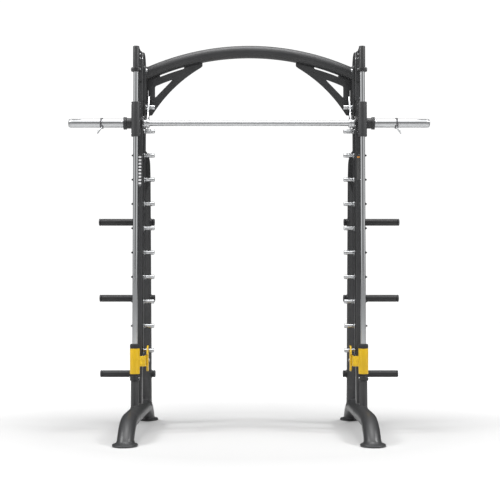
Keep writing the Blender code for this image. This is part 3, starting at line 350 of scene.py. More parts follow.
def extra_pair(name, right, body, finish, slot, smooth=32, node=None):
    """The same for pieces that the CAD doesn't have; body may hold {side}."""
    right.name = name + "_fine_right"
    left = mirrored(right, name + "_fine_left")
    for side, item in (("right", right), ("left", left)):
        stands_for = node.format(side=side) if node else None
        dress(item, body.format(side=side), finish, slot, stands_for, smooth)


# ---------------- finishes


class Nodes:
    """A node tree that is built up one node at a time."""

    def __init__(self, tree, coordinates):
        self.tree = tree
        self.place = self.add("TexCoord").outputs[coordinates]

    def add(self, kind, inputs=None, **settings):
        node = self.tree.nodes.new("ShaderNode" + kind)
        for name, value in settings.items():
            setattr(node, name, value)
        for name, value in (inputs or {}).items():
            node.inputs[name].default_value = value
        return node

    def link(self, source, target):
        self.tree.links.new(source, target)

    def axis(self, name):
        split = self.add("SeparateXYZ")
        self.link(self.place, split.inputs["Vector"])
        return split.outputs[name]

    def maths(self, operation, *sources):
        node = self.add("Math", operation=operation)
        for source, target in zip(sources, node.inputs):
            self.link(source, target)
        return node.outputs["Value"]

    def noise(self, scale, detail=2.0, stretch=(1, 1, 1)):
        mapping = self.add("Mapping", {"Scale": stretch})
        self.link(self.place, mapping.inputs["Vector"])
        node = self.add("TexNoise", {"Scale": scale, "Detail": detail})
        self.link(mapping.outputs["Vector"], node.inputs["Vector"])
        return node.outputs["Fac"]

    def ramp(self, source, stops):
        node = self.add("ValToRGB")
        elements = node.color_ramp.elements
        while len(elements) < len(stops):
            elements.new(0.5)
        for element, (position, colour) in zip(elements, stops):
            element.position = position
            element.color = (*colour, 1.0)
        self.link(source, node.inputs["Fac"])
        return node.outputs["Color"]

    def span(self, source, low, high, start=0.0, end=1.0):
        """Maps start to end onto low to high."""
        node = self.add("MapRange", {"From Min": start, "From Max": end, "To Min": low, "To Max": high})
        self.link(source, node.inputs["Value"])
        return node.outputs["Result"]


class Finish(Nodes):
    """A Principled material."""

    def __init__(self, name, roughness, metallic=0.0):
        self.made = bpy.data.materials.new(name)
        self.made.use_nodes = True
        super().__init__(self.made.node_tree, "Object")
        self.shader = self.tree.nodes["Principled BSDF"]
        self.shader.inputs["Roughness"].default_value = roughness
        self.shader.inputs["Metallic"].default_value = metallic

    def bump(self, source, strength, distance):
        node = self.add("Bump", {"Strength": strength, "Distance": distance})
        previous = self.shader.inputs["Normal"].links
        if previous:
            self.link(previous[0].from_socket, node.inputs["Normal"])
        self.link(source, node.inputs["Height"])
        self.link(node.outputs["Normal"], self.shader.inputs["Normal"])

    def colour(self, source):
        self.link(source, self.shader.inputs["Base Color"])

    def roughness(self, source):
        self.link(source, self.shader.inputs["Roughness"])


def scaled(colour, factor):
    return tuple(min(1.0, c * factor) for c in colour)


def edge_wear(finish, base, worn):
    """Shows the worn colour along sharp outer edges."""
    pointed = finish.add("NewGeometry").outputs["Pointiness"]
    edge = finish.ramp(pointed, [(0.53, (0, 0, 0)), (0.60, (1, 1, 1))])
    patchy = finish.ramp(finish.noise(60, 4), [(0.45, (0, 0, 0)), (0.7, (0.7, 0.7, 0.7))])
    plain = finish.ramp(finish.noise(1, 0), [(0.0, worn), (1.0, worn)])
    node = finish.add("Mix", data_type="RGBA")
    for name, source in (("Factor", finish.maths("MULTIPLY", edge, patchy)), ("A", base), ("B", plain)):
        finish.link(source, node.inputs[name])
    return node.outputs["Result"]


def powder_coat(name, colour, roughness):
    """Baked powder paint: fine orange peel, slight mottle, dulled and lighter at the edges."""
    finish = Finish(name, roughness)
    mottle = finish.ramp(finish.noise(7, 4), [(0.3, scaled(colour, 0.9)), (0.7, scaled(colour, 1.1))])
    finish.colour(edge_wear(finish, mottle, scaled(colour, 1.7)))
    finish.roughness(finish.span(finish.noise(24, 5), roughness - 0.07, roughness + 0.09))
    finish.bump(finish.noise(650, 2), 0.18, 0.0004)
    finish.bump(finish.noise(90, 2), 0.05, 0.0006)
    return finish.made


def chrome_plate(name, tint, roughness, stretch=(1, 1, 1)):
    """Plated steel: nearly clear reflections, with faint polishing marks and smears."""
    finish = Finish(name, roughness, 1.0)
    finish.colour(finish.ramp(finish.noise(11, 4), [(0.3, scaled(tint, 0.93)), (0.7, tint)]))
    finish.roughness(finish.span(finish.noise(38, 5), roughness * 0.7, roughness * 1.4))
    finish.bump(finish.noise(120, 2, stretch), 0.006, 0.0002)
    return finish.made


KNURL_SCALE = 180


def knurled(name, tint):
    """The bar's shaft: chrome with two crossed sets of fine grooves where hands go."""
    finish = Finish(name, 0.22, 1.0)
    finish.colour(finish.ramp(finish.noise(30, 4), [(0.3, scaled(tint, 0.88)), (0.7, tint)]))
    away = finish.maths("ABSOLUTE", finish.axis("X"))
    stops = ((0.0, 1), (0.055, 1), (0.056, 0), (0.20, 0), (0.201, 1), (0.54, 1), (0.541, 0))
    zone = finish.ramp(away, [(place, (knurl,) * 3) for place, knurl in stops])
    grooves = []
    for turn in (30, -30):
        mapping = finish.add("Mapping", {"Rotation": (0, math.radians(turn), 0)})
        finish.link(finish.place, mapping.inputs["Vector"])
        wave = finish.add("TexWave", {"Scale": KNURL_SCALE})
        finish.link(mapping.outputs["Vector"], wave.inputs["Vector"])
        grooves.append(wave.outputs["Fac"])
    there = finish.maths("MULTIPLY", finish.maths("ADD", *grooves), zone)
    finish.roughness(finish.span(zone, 0.09, 0.20))
    finish.bump(there, 0.06, 0.0004)
    return finish.made


def moulded(name, colour, roughness, grain):
    """Rubber or plastic: matt, finely grained, with paler dusty patches."""
    finish = Finish(name, roughness)
    dusty = finish.ramp(finish.noise(16, 5), [(0.35, colour), (0.75, scaled(colour, 1.9))])
    finish.colour(dusty)
    finish.roughness(finish.span(finish.noise(45, 4), roughness - 0.08, roughness + 0.12))
    finish.bump(finish.noise(grain, 2), 0.25, 0.0004)
    return finish.made


def decal(name, ground, marks, pitch, ground_share):
    """A printed label: rows of plain bars on a ground colour."""
    finish = Finish(name, 0.35)
    rows = finish.maths("PINGPONG", finish.axis("Z"))
    rows.node.inputs[1].default_value = pitch
    share = finish.span(rows, 0.0, 1.0, 0.0, pitch)
    finish.colour(finish.ramp(share, [(0.0, ground), (ground_share, ground), (ground_share + 0.04, marks),
        (1.0, marks)]))
    finish.bump(finish.noise(400, 2), 0.05, 0.0002)
    return finish.made


GREY = (0.036, 0.0365, 0.038)
CHARCOAL = (0.017, 0.017, 0.018)
SILVER = (0.62, 0.63, 0.64)
AMBER = (0.66, 0.41, 0.003)
BLACK = (0.012, 0.012, 0.013)

frame_paint = powder_coat("grey_powder_coat", GREY, 0.37)
dark_paint = powder_coat("black_powder_coat", CHARCOAL, 0.38)
yellow_paint = powder_coat("yellow_powder_coat", AMBER, 0.36)
rod_chrome = chrome_plate("rod_chrome", (0.55, 0.56, 0.57), 0.11, (4, 4, 0.05))
bar_chrome = chrome_plate("sleeve_chrome", SILVER, 0.08, (12, 0.4, 0.4))
part_chrome = chrome_plate("hook_chrome", SILVER, 0.12)
zinc = chrome_plate("zinc_fastener", (0.70, 0.71, 0.72), 0.22)
spring_steel = chrome_plate("spring_steel", (0.24, 0.24, 0.25), 0.28)
shaft_chrome = knurled("knurled_chrome", SILVER)
rubber = moulded("black_rubber", BLACK, 0.68, 700)
cap_plastic = moulded("cap_plastic", (0.020, 0.020, 0.022), 0.42, 900)
grip_plastic = moulded("pale_grip_plastic", (0.42, 0.43, 0.44), 0.35, 900)

# A finish and the slot that it fills
PAINTED = (frame_paint, "frame_paint")
DARK_PAINTED = (dark_paint, "dark_paint")
PLATED = (part_chrome, "chrome")
ZINC_PLATED = (zinc, "chrome")
YELLOW_PAINTED = (yellow_paint, "safety_yellow")
RUBBERY = (rubber, "black_rubber")


# ---------------- fasteners


def hex_bolt(place, out, size, height):
    """A hexagon head with a chamfered top on a washer; size is half across the corners."""
    out = Vector(out).normalized()
    side = out.orthogonal().normalized()
    up = out.cross(side)
    base = Vector(place)
    start = WASHER_THICKNESS
    washer = barrel("washer", 0, start, size * 1.28, size * 0.4, 0.0004, base, out, COARSE)
    levels = [(start, 0.96), (start + 0.0005, 1.0), (start + 0.75 * height, 1.0),
        (start + 0.93 * height, 0.93), (start + height, 0.80), (start + height, 0.55),
        (start + 0.92 * height, 0.50)]
    rings = [circle(base + out * h, side, up, size * k, 6) for h, k in levels]
    return merged("bolt", [washer, new_object("head", loft(rings))])


def cap_screw(place, out, radius=0.005, height=0.005):
    """A round socket head with a hexagonal recess."""
    out = Vector(out).normalized()
    side = out.orthogonal().normalized()
    up = out.cross(side)
    base = Vector(place)
    edge = 0.12 * radius
    rings = [circle(base, side, up, radius, 24), circle(base + out * (height - edge), side, up, radius, 24),
        circle(base + out * height, side, up, radius - edge, 24), circle(base + out * height, side, up,
        radius * 0.58, 24), circle(base + out * height * 0.45, side, up, radius * 0.52, 24)]
    return new_object("screw", loft(rings))


def weld_bead(path, radius):
    """A closed fillet weld with small ripples along it."""
    count = len(path)
    middle = sum(path, Vector()) / count
    rippled = []
    for i, point in enumerate(path):
        swell = 0.0004 * math.sin(2.3 * i)
        rippled.append(point + (point - middle).normalized() * swell)
    return sweep("bead", rippled, radius, 10, closed=True)


# ---------------- base and feet


def base_meridian(turn, offset=0.0):
    """(X, reach of the bend's circle) for a line along the tube at an angle round it."""
    radius = BASE_RADIUS + offset
    return BASE.centre.x + radius * math.cos(turn), BASE_BEND_RADIUS + radius * math.sin(turn)


def base_section(height, offset, way):
    """The tube's outline where a level plane cuts its bend, grown by offset."""
    drop = height - (BASE_AXIS_HEIGHT - BASE_BEND_RADIUS)
    ring = []
    for turn in turns(FINE):
        x, reach = base_meridian(turn, offset)
        y = BASE_STRAIGHT_HALF + math.sqrt(reach ** 2 - drop ** 2)
        ring.append(Vector((x, way * y, height)))
    return ring


def base_tube():
    """The bent tube, each line of it run down its own circle to the foot plate."""
    centre_height = BASE_AXIS_HEIGHT - BASE_BEND_RADIUS
    end = PLATE_THICKNESS - 0.001
    steps = 26
    half = []
    for k in range(steps + 1):
        ring = []
        for turn in turns(FINE):
            x, reach = base_meridian(turn)
            bend = math.acos((end - centre_height) / reach) * k / steps
            ring.append((x, BASE_STRAIGHT_HALF + reach * math.sin(bend),
                centre_height + reach * math.cos(bend)))
        half.append(ring)
    front = [[Vector((x, -y, z)) for x, y, z in ring] for ring in reversed(half)]
    rear = [[Vector((x, y, z)) for x, y, z in ring] for ring in half]
    return new_object("base", loft(front + rear))


def foot(way):
    """An oval plate with a rounded rim, flared up into the tube."""
    centre_y = way * abs(FOOT.centre.y)
    half_width = FOOT.size.x / 2
    half_length = FOOT.size.y / 2
    rim = [(0.0, 0.0030), (0.0010, 0.0012), (0.0030, 0.0001), (0.0065, 0.0), (0.0095, 0.0008),
        (0.0118, 0.0026), (0.0128, 0.0050), (0.0131, 0.0078)]
    rings = []
    for height, inset in rim:
        rings.append([Vector((FOOT.centre.x + (half_width - inset) * math.cos(a),
            centre_y + way * (half_length - inset) * math.sin(a), height)) for a in turns(FINE)])
    flare = [(0.0134, 0.0100), (0.0146, 0.0068), (0.0166, 0.0045), (0.0192, 0.0028), (0.0226, 0.0014),
        (0.0270, 0.0004)]
    rings += [base_section(height, offset, way) for height, offset in flare]
    rings.append(base_section(0.0274, -0.002, way))
    return new_object("foot", loft(rings))


def on_base(x, lift=0.0):
    """Height of the top of the straight base tube at a distance across it."""
    inside = max(BASE_RADIUS ** 2 - (x - BASE.centre.x) ** 2, 0.0)
    return BASE_AXIS_HEIGHT + math.sqrt(inside) + lift


def build_base():
    pair("base_tube", base_tube(), "frame", *PAINTED)
    pair("foot_front", foot(-1), "frame", *PAINTED)
    pair("foot_rear", foot(1), "frame", *PAINTED)
    beads = []
    socket = [Vector((ROD.centre.x + 0.0222 * math.cos(a), ROD.centre.y + 0.0222 * math.sin(a),
        0)) for a in turns(72)]
    beads.append([Vector((p.x, p.y, on_base(p.x, 0.0008))) for p in socket])
    lean = Vector((0, -BRACE_LEAN, 1)).normalized()
    back = Vector((0, 1, BRACE_LEAN)).normalized()
    start = Vector((BASE.centre.x, BRACE_FOOT_Y, BASE_AXIS_HEIGHT))
    ring = []
    for turn in turns(96):
        point = start + (BRACE_RADIUS + BEAD_LIFT) * (math.cos(turn) * ACROSS + math.sin(turn) * back)
        run = (on_base(point.x) - point.z) / lean.z
        ring.append(point + lean * run)
    beads.append(ring)
    half = COLUMN.size.x / 2 + 0.0004
    front = COLUMN.low.y - 0.0004
    rear = COLUMN.low.y + COLUMN_FOOT_DEPTH + 0.0004
    corners = rectangle((COLUMN.centre.x - half, front), (COLUMN.centre.x + half, rear))
    outline = rounded(corners, 0.006, 6, closed=True)
    walk = []
    for i, point in enumerate(outline):
        onward = Vector(outline[(i + 1) % len(outline)]) - Vector(point)
        parts = max(1, round(onward.length / 0.003))
        walk += [Vector(point) + onward * k / parts for k in range(parts)]
    beads.append([Vector((p.x, p.y, on_base(p.x, BEAD_LIFT))) for p in walk])
    welds = merged("base_welds", [weld_bead(path, 0.0026) for path in beads])
    extra_pair("base_welds", welds, "frame", *PAINTED)


# ---------------- columns and braces


def column_outline(grow=0.0):
    radius = COLUMN.size.y / 2 + grow
    front = COLUMN.low.y - grow
    foot_back = COLUMN.low.y + COLUMN_FOOT_DEPTH + grow
    back = COLUMN.high.y + grow
    crown = COLUMN.high.z - COLUMN.size.y / 2
    low, high = COLUMN_TAPER
    straight = [(front, 0.12), (foot_back, 0.12), (foot_back, low), (back, high)]
    soft = rounded(straight, 0.09, 8)
    return soft + arc((COLUMN.centre.y, crown), radius, 0, math.pi, 44)


def column():
    item = prism("column", column_outline(), COLUMN.low.x, COLUMN.high.x, "X")
    return bevelled(item, 0.006, 5, 50)


def brace_y(height):
    return BRACE_FOOT_Y - BRACE_LEAN * (height - BASE_AXIS_HEIGHT)


def brace():
    start = Vector((BASE.centre.x, brace_y(BASE_AXIS_HEIGHT), BASE_AXIS_HEIGHT))
    lean = math.atan(BRACE_LEAN)
    centre = (brace_y(BRACE_BEND_HEIGHT) - BRACE_BEND_RADIUS * math.cos(lean),
        BRACE_BEND_HEIGHT - BRACE_BEND_RADIUS * math.sin(lean))
    bend = arc(centre, BRACE_BEND_RADIUS, lean, lean + BRACE_BEND_ANGLE, 14)
    path = [start] + [Vector((BASE.centre.x, y, z)) for y, z in bend]
    last = lean + BRACE_BEND_ANGLE
    path.append(path[-1] + Vector((0, -math.sin(last), math.cos(last))) * 0.30)
    item = sweep("brace", path, BRACE_RADIUS)
    beside = prism("beside", column_outline(GAP), BASE.centre.x - 0.1, BASE.centre.x + 0.1, "X")
    return cut(item, beside)


def horn(index):
    """A storage horn: a painted tube with a moulded cap pushed into each end."""
    span = Span(f"storage_horn_{index}_right")
    radius = span.size.y / 2
    origin = (0, span.centre.y, span.centre.z)
    cap = 0.014
    low, high = span.low.x, span.high.x
    tube = barrel("horn", low + cap, high - cap, radius - 0.0004, radius * 0.6, 0.0008, origin, ACROSS,
        MEDIUM)
    caps = []
    for end, way in ((low, 1), (high, -1)):
        profile = [(end + way * (cap - 0.0006), radius * 0.5), (end + way * (cap - 0.0006), radius),
            (end, radius), (end, radius * 0.3), (end + way * 0.001, radius * 0.22), (end + way * 0.001, 0)]
        caps.append(soft_lathe("cap", profile, 0.006, origin, ACROSS, MEDIUM))
    ends = merged("horn_caps", caps)
    beads = []
    for way in (-1, 1):
        ring = []
        for turn in turns(60):
            y = (radius + BEAD_LIFT) * math.cos(turn)
            z = (radius + BEAD_LIFT) * math.sin(turn)
            x = BASE.centre.x + way * (math.sqrt(BRACE_RADIUS ** 2 - y ** 2) + 0.0004)
            ring.append(Vector((x, span.centre.y + y, span.centre.z + z)))
        beads.append(weld_bead(ring, 0.0022))
    welds = merged("horn_welds", beads)
    name = f"storage_horn_{index}"
    pair(name, tube, "frame", *DARK_PAINTED)
    extra_pair(name + "_caps", ends, "frame", cap_plastic, "dark_paint")
    extra_pair(name + "_welds", welds, "frame", *PAINTED)


def build_columns():
    pair("column", column(), "frame", *PAINTED)
    pair("rear_brace", brace(), "frame", *PAINTED)
    for index in range(1, HORN_COUNT + 1):
        horn(index)


# ---------------- arch, plates and gussets

ARCH_CENTRE_HEIGHT = ARCH.high.z - ARCH_TUBE_RADIUS - ARCH_RADIUS


def under_arch(x, drop):
    radius = ARCH_RADIUS - ARCH_TUBE_RADIUS - drop
    return ARCH_CENTRE_HEIGHT + math.sqrt(radius ** 2 - x ** 2)


def arch():
    """The arch tube, each line of it run along its own circle up to the mounting plates."""
    steps = 90
    rings = []
    for k in range(steps + 1):
        ring = []
        for turn in turns(FINE):
            reach = ARCH_RADIUS + ARCH_TUBE_RADIUS * math.cos(turn)
            bend = math.asin(ARCH.high.x / reach) * (2 * k / steps - 1)
            ring.append(Vector((reach * math.sin(bend), ARCH.centre.y + ARCH_TUBE_RADIUS * math.sin(turn),
                ARCH_CENTRE_HEIGHT + reach * math.cos(bend))))
        rings.append(ring)
    return new_object("arch_fine", loft(rings))


def arch_welds():
    ring = []
    for turn in turns(90):
        reach = ARCH_RADIUS + (ARCH_TUBE_RADIUS + BEAD_LIFT) * math.cos(turn)
        bend = math.asin((ARCH.high.x - BEAD_LIFT) / reach)
        ring.append(Vector((ARCH.high.x - BEAD_LIFT,
            ARCH.centre.y + (ARCH_TUBE_RADIUS + BEAD_LIFT) * math.sin(turn),
            ARCH_CENTRE_HEIGHT + reach * math.cos(bend))))
    return weld_bead(ring, 0.0028)


def mount_plate():
    outline = rectangle(MOUNT.low.yz, MOUNT.high.yz)
    return slab("mount", outline, 0.028, 8, MOUNT.low.x, MOUNT.high.x, "X", 0.0015)


def gusset():
    """A triangular web under the arch, with two slots along its edges and a hole."""
    outer = GUSSET.high.x
    tip = GUSSET.low.x
    length = outer - tip
    foot_x = outer - GUSSET_FOOT_WIDTH
    bottom = MOUNT.low.z + GUSSET_FOOT_RISE
    slot_start = tip + 0.33 * length
    slot_end = outer - 0.24 * length
    top = []
    for start, end, drop in ((tip, slot_start, -0.001), (slot_start + 0.002, slot_end, GUSSET_SLOT_DEPTH),
            (slot_end + 0.002, outer, -0.001)):
        for i in range(9):
            x = start + (end - start) * i / 8
            top.append((x, under_arch(x, drop)))
    slot_top = under_arch(outer, 0) - 0.055
    slot_low = slot_top - 0.074
    side = [(outer, slot_top + 0.002), (outer - GUSSET_SLOT_DEPTH, slot_top - 0.001),
        (outer - GUSSET_SLOT_DEPTH, slot_low + 0.001), (outer, slot_low - 0.002), (outer, bottom - 0.004)]
    start = Vector((foot_x, bottom))
    end = Vector((tip + 0.012, under_arch(tip, GUSSET_TIP_HEIGHT + 0.010)))
    run = end - start
    left = Vector((-run.y, run.x)).normalized()
    lower = []
    for i in range(25):
        share = i / 24
        bulge = -4 * GUSSET_LOWER_SAGITTA * share * (1 - share)
        lower.append(tuple(start + run * share + left * bulge))
    nose = [(tip, under_arch(tip, GUSSET_TIP_HEIGHT))]
    outline = rounded(top + side + lower + nose, 0.003, 3, closed=True)
    item = prism("gusset", outline, GUSSET.low.y, GUSSET.high.y, "Y")
    hole_outer = outer - GUSSET_RIM
    hole_inner = tip + 0.55 * length
    hole = [(x, under_arch(x, 0.050)) for x in (hole_inner, (hole_inner + hole_outer) / 2, hole_outer)]
    hole += [(hole_outer, under_arch(hole_outer, 0.112)), (hole_inner, under_arch(hole_inner, 0.054))]
    tool = prism("hole", rounded(hole, 0.009, 6, closed=True), GUSSET.low.y - 0.01, GUSSET.high.y + 0.01, "Y")
    return bevelled(cut(item, tool), 0.0009, 2, 50)


def mount_bolts():
    """Bolts through the mounting plate, heads inside and nuts on the column's outer side."""
    bolts = []
    for y in (MOUNT.low.y + 0.030, MOUNT.high.y - 0.030):
        for z in (MOUNT.low.z + 0.030, MOUNT.high.z - 0.028):
            if abs(y - PEG_Y) > 0.02 or abs(z - PEG_HIGHEST) > 0.03:
                bolts.append(hex_bolt((MOUNT.low.x, y, z), -ACROSS, 0.0095, 0.0065))
            bolts.append(hex_bolt((COLUMN.high.x, y, z), ACROSS, 0.0095, 0.0080))
    return merged("mount_bolts", bolts)


def build_arch():
    dress(arch(), "frame", *PAINTED, "arch_tube")
    extra_pair("arch_welds", arch_welds(), "frame", *PAINTED)
    pair("arch_mount_plate", mount_plate(), "frame", *PAINTED)
    pair("gusset", gusset(), "frame", *PAINTED)
    extra_pair("mount_bolts", mount_bolts(), "frame", *ZINC_PLATED)


# ---------------- guide rods


def guide_rod():
    return barrel("rod", ROD.low.z, ROD.high.z, ROD.size.x / 2, 0.004, 0.002, ROD_AXIS, UP)


def top_socket():
    """The capped tube over the rod's end, its block and the flange on the column."""
    low, high = TOP_SOCKET.low.z, TOP_SOCKET.high.z
    tube_low = TOP_RING.high.z + GAP
    tube_high = tube_low + 0.124
    tube = soft_lathe("socket", [(tube_low, ROD.size.x / 2 + 0.001), (tube_low, SOCKET_RADIUS),
        (tube_high, SOCKET_RADIUS), (tube_high, 0.002)], 0.0035, ROD_AXIS, UP)
    back = TOP_SOCKET.high.y
    front = back - FLANGE_THICKNESS
    half = BLOCK_HALF_WIDTH
    edge = [(ROD.centre.y + 0.004, tube_low + 0.012), (front + 0.001, tube_low + 0.024),
        (front + 0.001, tube_high - 0.018), (front - 0.02, tube_high - 0.006),
        (ROD.centre.y + 0.004, tube_high - 0.004)]
    block = bevelled(prism("block", edge, ROD.centre.x - half, ROD.centre.x + half, "X"), 0.002, 3)
    wide = TOP_SOCKET.size.x / 2
    plate = rectangle((ROD.centre.x - wide, min(low, high - 0.104)), (ROD.centre.x + wide, high))
    flange = slab("flange", plate, 0.008, 5, front, back, "Y", 0.001, 2)
    return merged("socket", [tube, block, flange])


def socket_bolts():
    """The bolt on the column's round top, the block's side screws and the rings' grub screws."""
    parts = []
    high = TOP_SOCKET.high.z
    slope = math.radians(27)
    crown = COLUMN.high.z - COLUMN.size.y / 2
    reach = COLUMN.size.y / 2
    out = Vector((0, -math.cos(slope), math.sin(slope)))
    place = Vector((COLUMN.centre.x - 0.013, COLUMN.centre.y, crown)) + out * reach
    parts.append(hex_bolt(place, out, 0.0085, 0.006))
    for z in (high - 0.060, high - 0.036):
        for way in (1, -1):
            place = (ROD.centre.x + way * BLOCK_HALF_WIDTH, ROD.centre.y + 0.045, z)
            parts.append(cap_screw(place, way * ACROSS, 0.0052))
    for height, radius in ((TOP_RING.centre.z, TOP_RING.size.x / 2), (LOW_RING.low.z + 0.018,
            LOW_RING.size.x / 2)):
        for degrees in (-150, -30, 90):
            turn = math.radians(degrees)
            out = Vector((math.cos(turn), math.sin(turn), 0))
            place = Vector((ROD.centre.x, ROD.centre.y, height)) + out * (radius - 0.0015)
            parts.append(cap_screw(place, out, 0.0048, 0.0042))
    return merged("socket_bolts", parts)


def build_rods():
    pair("guide_rod", guide_rod(), "frame", rod_chrome, "chrome")
    pair("rod_socket_top", top_socket(), "frame", *PAINTED)
    bore = ROD.size.x / 2 + GAP
    ring = barrel("ring", TOP_RING.low.z, TOP_RING.high.z, TOP_RING.size.x / 2, bore + 0.002, 0.0022,
        ROD_AXIS, UP, FINE, bore)
    pair("rod_ring_top", ring, "frame", *DARK_PAINTED)
    foot_z = BASE_AXIS_HEIGHT + BASE_RADIUS - 0.012
    socket = barrel("socket", foot_z, LOW_SOCKET.high.z, LOW_SOCKET.size.x / 2, bore, 0.001, ROD_AXIS, UP)
    pair("rod_socket_bottom", socket, "frame", *PAINTED)
    low, radius = LOW_RING.low.z, LOW_RING.size.x / 2
    band = LOW_RING.high.z - 0.011
    clamp = soft_lathe("clamp", [(low, bore + 0.002), (low, radius - 0.005), (low + 0.005, radius),
        (band, radius), (band, bore + 0.002)], 0.0018, ROD_AXIS, UP, FINE, bore)
    pair("rod_ring_bottom", clamp, "frame", *DARK_PAINTED)
    pad = barrel("pad", band, LOW_RING.high.z, radius - 0.002, bore + 0.002, 0.0022, ROD_AXIS, UP, FINE, bore)
    extra_pair("rod_foot_pad", pad, "frame", *RUBBERY)
    extra_pair("socket_bolts", socket_bolts(), "frame", *ZINC_PLATED)


# ---------------- pegs


def peg(height, base_x):
    return barrel("peg", TOP_PEG.low.x, base_x, PEG_RADIUS, 0.002, 0.0035, (0, PEG_Y, height), ACROSS, MEDIUM)


def build_pegs():
    heights = [PEG_LOWEST + PEG_PITCH * i for i in range(PEG_COUNT)]
    rail_inner = RAIL.high.x - 0.004
    strip = rectangle(RAIL.low.yz, RAIL.high.yz)
    rail = slab("rail", strip, 0.012, 6, rail_inner, RAIL.high.x, "X", 0.0008, 2)
    pair("peg_rail", rail, "frame", *PAINTED)
    pegs = merged("pegs", [peg(z, rail_inner + 0.001) for z in heights[:-1]])
    extra_pair("pegs", pegs, "frame", *PLATED)
    pair("top_peg", peg(heights[-1], TOP_PEG.high.x), "frame", *PLATED)
    collars = []
    nuts = []
    for z in heights:
        seat = rail_inner if z < PEG_HIGHEST - 0.001 else MOUNT.low.x
        collars.append(barrel("collar", seat - 0.003, seat, PEG_RADIUS + 0.0035, PEG_RADIUS, 0.001,
            (0, PEG_Y, z), ACROSS, MEDIUM))
        nuts.append(hex_bolt((COLUMN.high.x, PEG_Y, z), ACROSS, 0.0092, 0.0062))
        nuts.append(soft_lathe("stud", [(COLUMN.high.x + 0.005, 0.0046), (COLUMN.high.x + 0.0145, 0.0046),
            (COLUMN.high.x + 0.0145, 0.001)], 0.0012, (0, PEG_Y, z), ACROSS, COARSE))
    extra_pair("peg_collars", merged("collars", collars), "frame", *PLATED)
    extra_pair("peg_nuts", merged("nuts", nuts), "frame", *DARK_PAINTED)


# ---------------- carriages


def carriage():
    """The sliding tube and the bar's housing."""
    low, high = CARRIAGE.low.z, CARRIAGE.high.z
    inner = BUSH.size.x / 2 + GAP
    tube = barrel("tube", low, high, CARRIAGE_RADIUS, inner + 0.0005, 0.003, ROD_AXIS, UP, FINE, inner)
    flange_end = CARRIAGE.high.x
    radius = CARRIAGE.high.y - BAR_AXIS.y
    bore = HOUSING_BORE
    start = CARRIAGE.low.x
    housing = soft_lathe("housing", [(start, bore + 0.001), (start, HOUSING_RADIUS),
        (HOUSING_OUTER_X, HOUSING_RADIUS), (HOUSING_OUTER_X, radius), (HOUSING_OUTER_X + 0.006, radius),
        (HOUSING_OUTER_X + 0.0075, radius - 0.0015), (HOUSING_OUTER_X + 0.009, radius), (flange_end, radius),
        (flange_end, bore + 0.001)], 0.0016, BAR_AXIS, ACROSS, FINE, bore)
    return merged("carriage", [tube, housing])


def carriage_welds():
    """A bead where the housing's side meets the sliding tube."""
    gap = BAR_AXIS.y - ROD_AXIS.y
    ring = []
    for turn in turns(80):
        x = ROD_AXIS.x + (CARRIAGE_RADIUS + 0.0004) * math.sin(turn) * 0.72
        y = ROD_AXIS.y + math.sqrt((CARRIAGE_RADIUS + 0.0004) ** 2 - (x - ROD_AXIS.x) ** 2)
        rise = math.sqrt(max((HOUSING_RADIUS + 0.0004) ** 2 - (y - ROD_AXIS.y - gap) ** 2, 1e-6))
        ring.append(Vector((x, y, BAR_AXIS.z + math.copysign(rise, math.cos(turn)))))
    return weld_bead(ring, 0.0020)


def build_carriages():
    pair("carriage", carriage(), "carriages", *PAINTED)
    extra_pair("carriage_welds", carriage_welds(), "carriages", *PAINTED)
    for level in ("upper", "lower"):
        span = Span(f"bush_{level}_right")
        inner = ROD.size.x / 2 + RUNNING_GAP
        bush = barrel("bush", span.low.z, span.high.z, span.size.x / 2, inner + 0.001, 0.0012, ROD_AXIS, UP,
            FINE, inner)
        pair(f"bush_{level}", bush, "carriages", cap_plastic, "bearing_nylon")
    radius = BEARING.size.y / 2
    inner = SHAFT.size.y / 2 + RUNNING_GAP
    seat = CARRIAGE.low.x - GAP
    profile = [(BEARING.low.x, inner + 0.003), (BEARING.low.x, 0.026), (BEARING.low.x + 0.0025, 0.0285),
        (BEARING.low.x + 0.0025, radius), (seat, radius), (seat, SPIGOT_RADIUS),
        (BEARING.high.x, SPIGOT_RADIUS), (BEARING.high.x, inner + 0.001)]
    flange = soft_lathe("flange", profile, 0.0016, BAR_AXIS, ACROSS, FINE, inner)
    pair("flange_bearing", flange, "carriages", *DARK_PAINTED)
    bolts = []
    for i in range(6):
        turn = math.pi * (i / 3 + 1 / 6)
        place = BAR_AXIS + Vector((BEARING.low.x + 0.0025, 0.0355 * math.cos(turn), 0.0355 * math.sin(turn)))
        bolts.append(cap_screw(place, -ACROSS, 0.0042, 0.0036))
    for degrees in (20, 160):
        turn = math.radians(degrees)
        for z in (CARRIAGE.low.z + 0.015, CARRIAGE.high.z - 0.015):
            out = Vector((math.cos(turn), -math.sin(turn), 0))
            bolts.append(cap_screw(ROD_AXIS + Vector((0, 0, z)) + out * (CARRIAGE_RADIUS - 0.0022), out,
                0.003, 0.0026))
    extra_pair("carriage_bolts", merged("bolts", bolts), "carriages", *ZINC_PLATED)


# ---------------- barbell


def turned_points(points, pivot, turn):
    c, s = math.cos(turn), math.sin(turn)
    return [(pivot[0] + r * c - t * s, pivot[1] + r * s + t * c) for r, t in points]


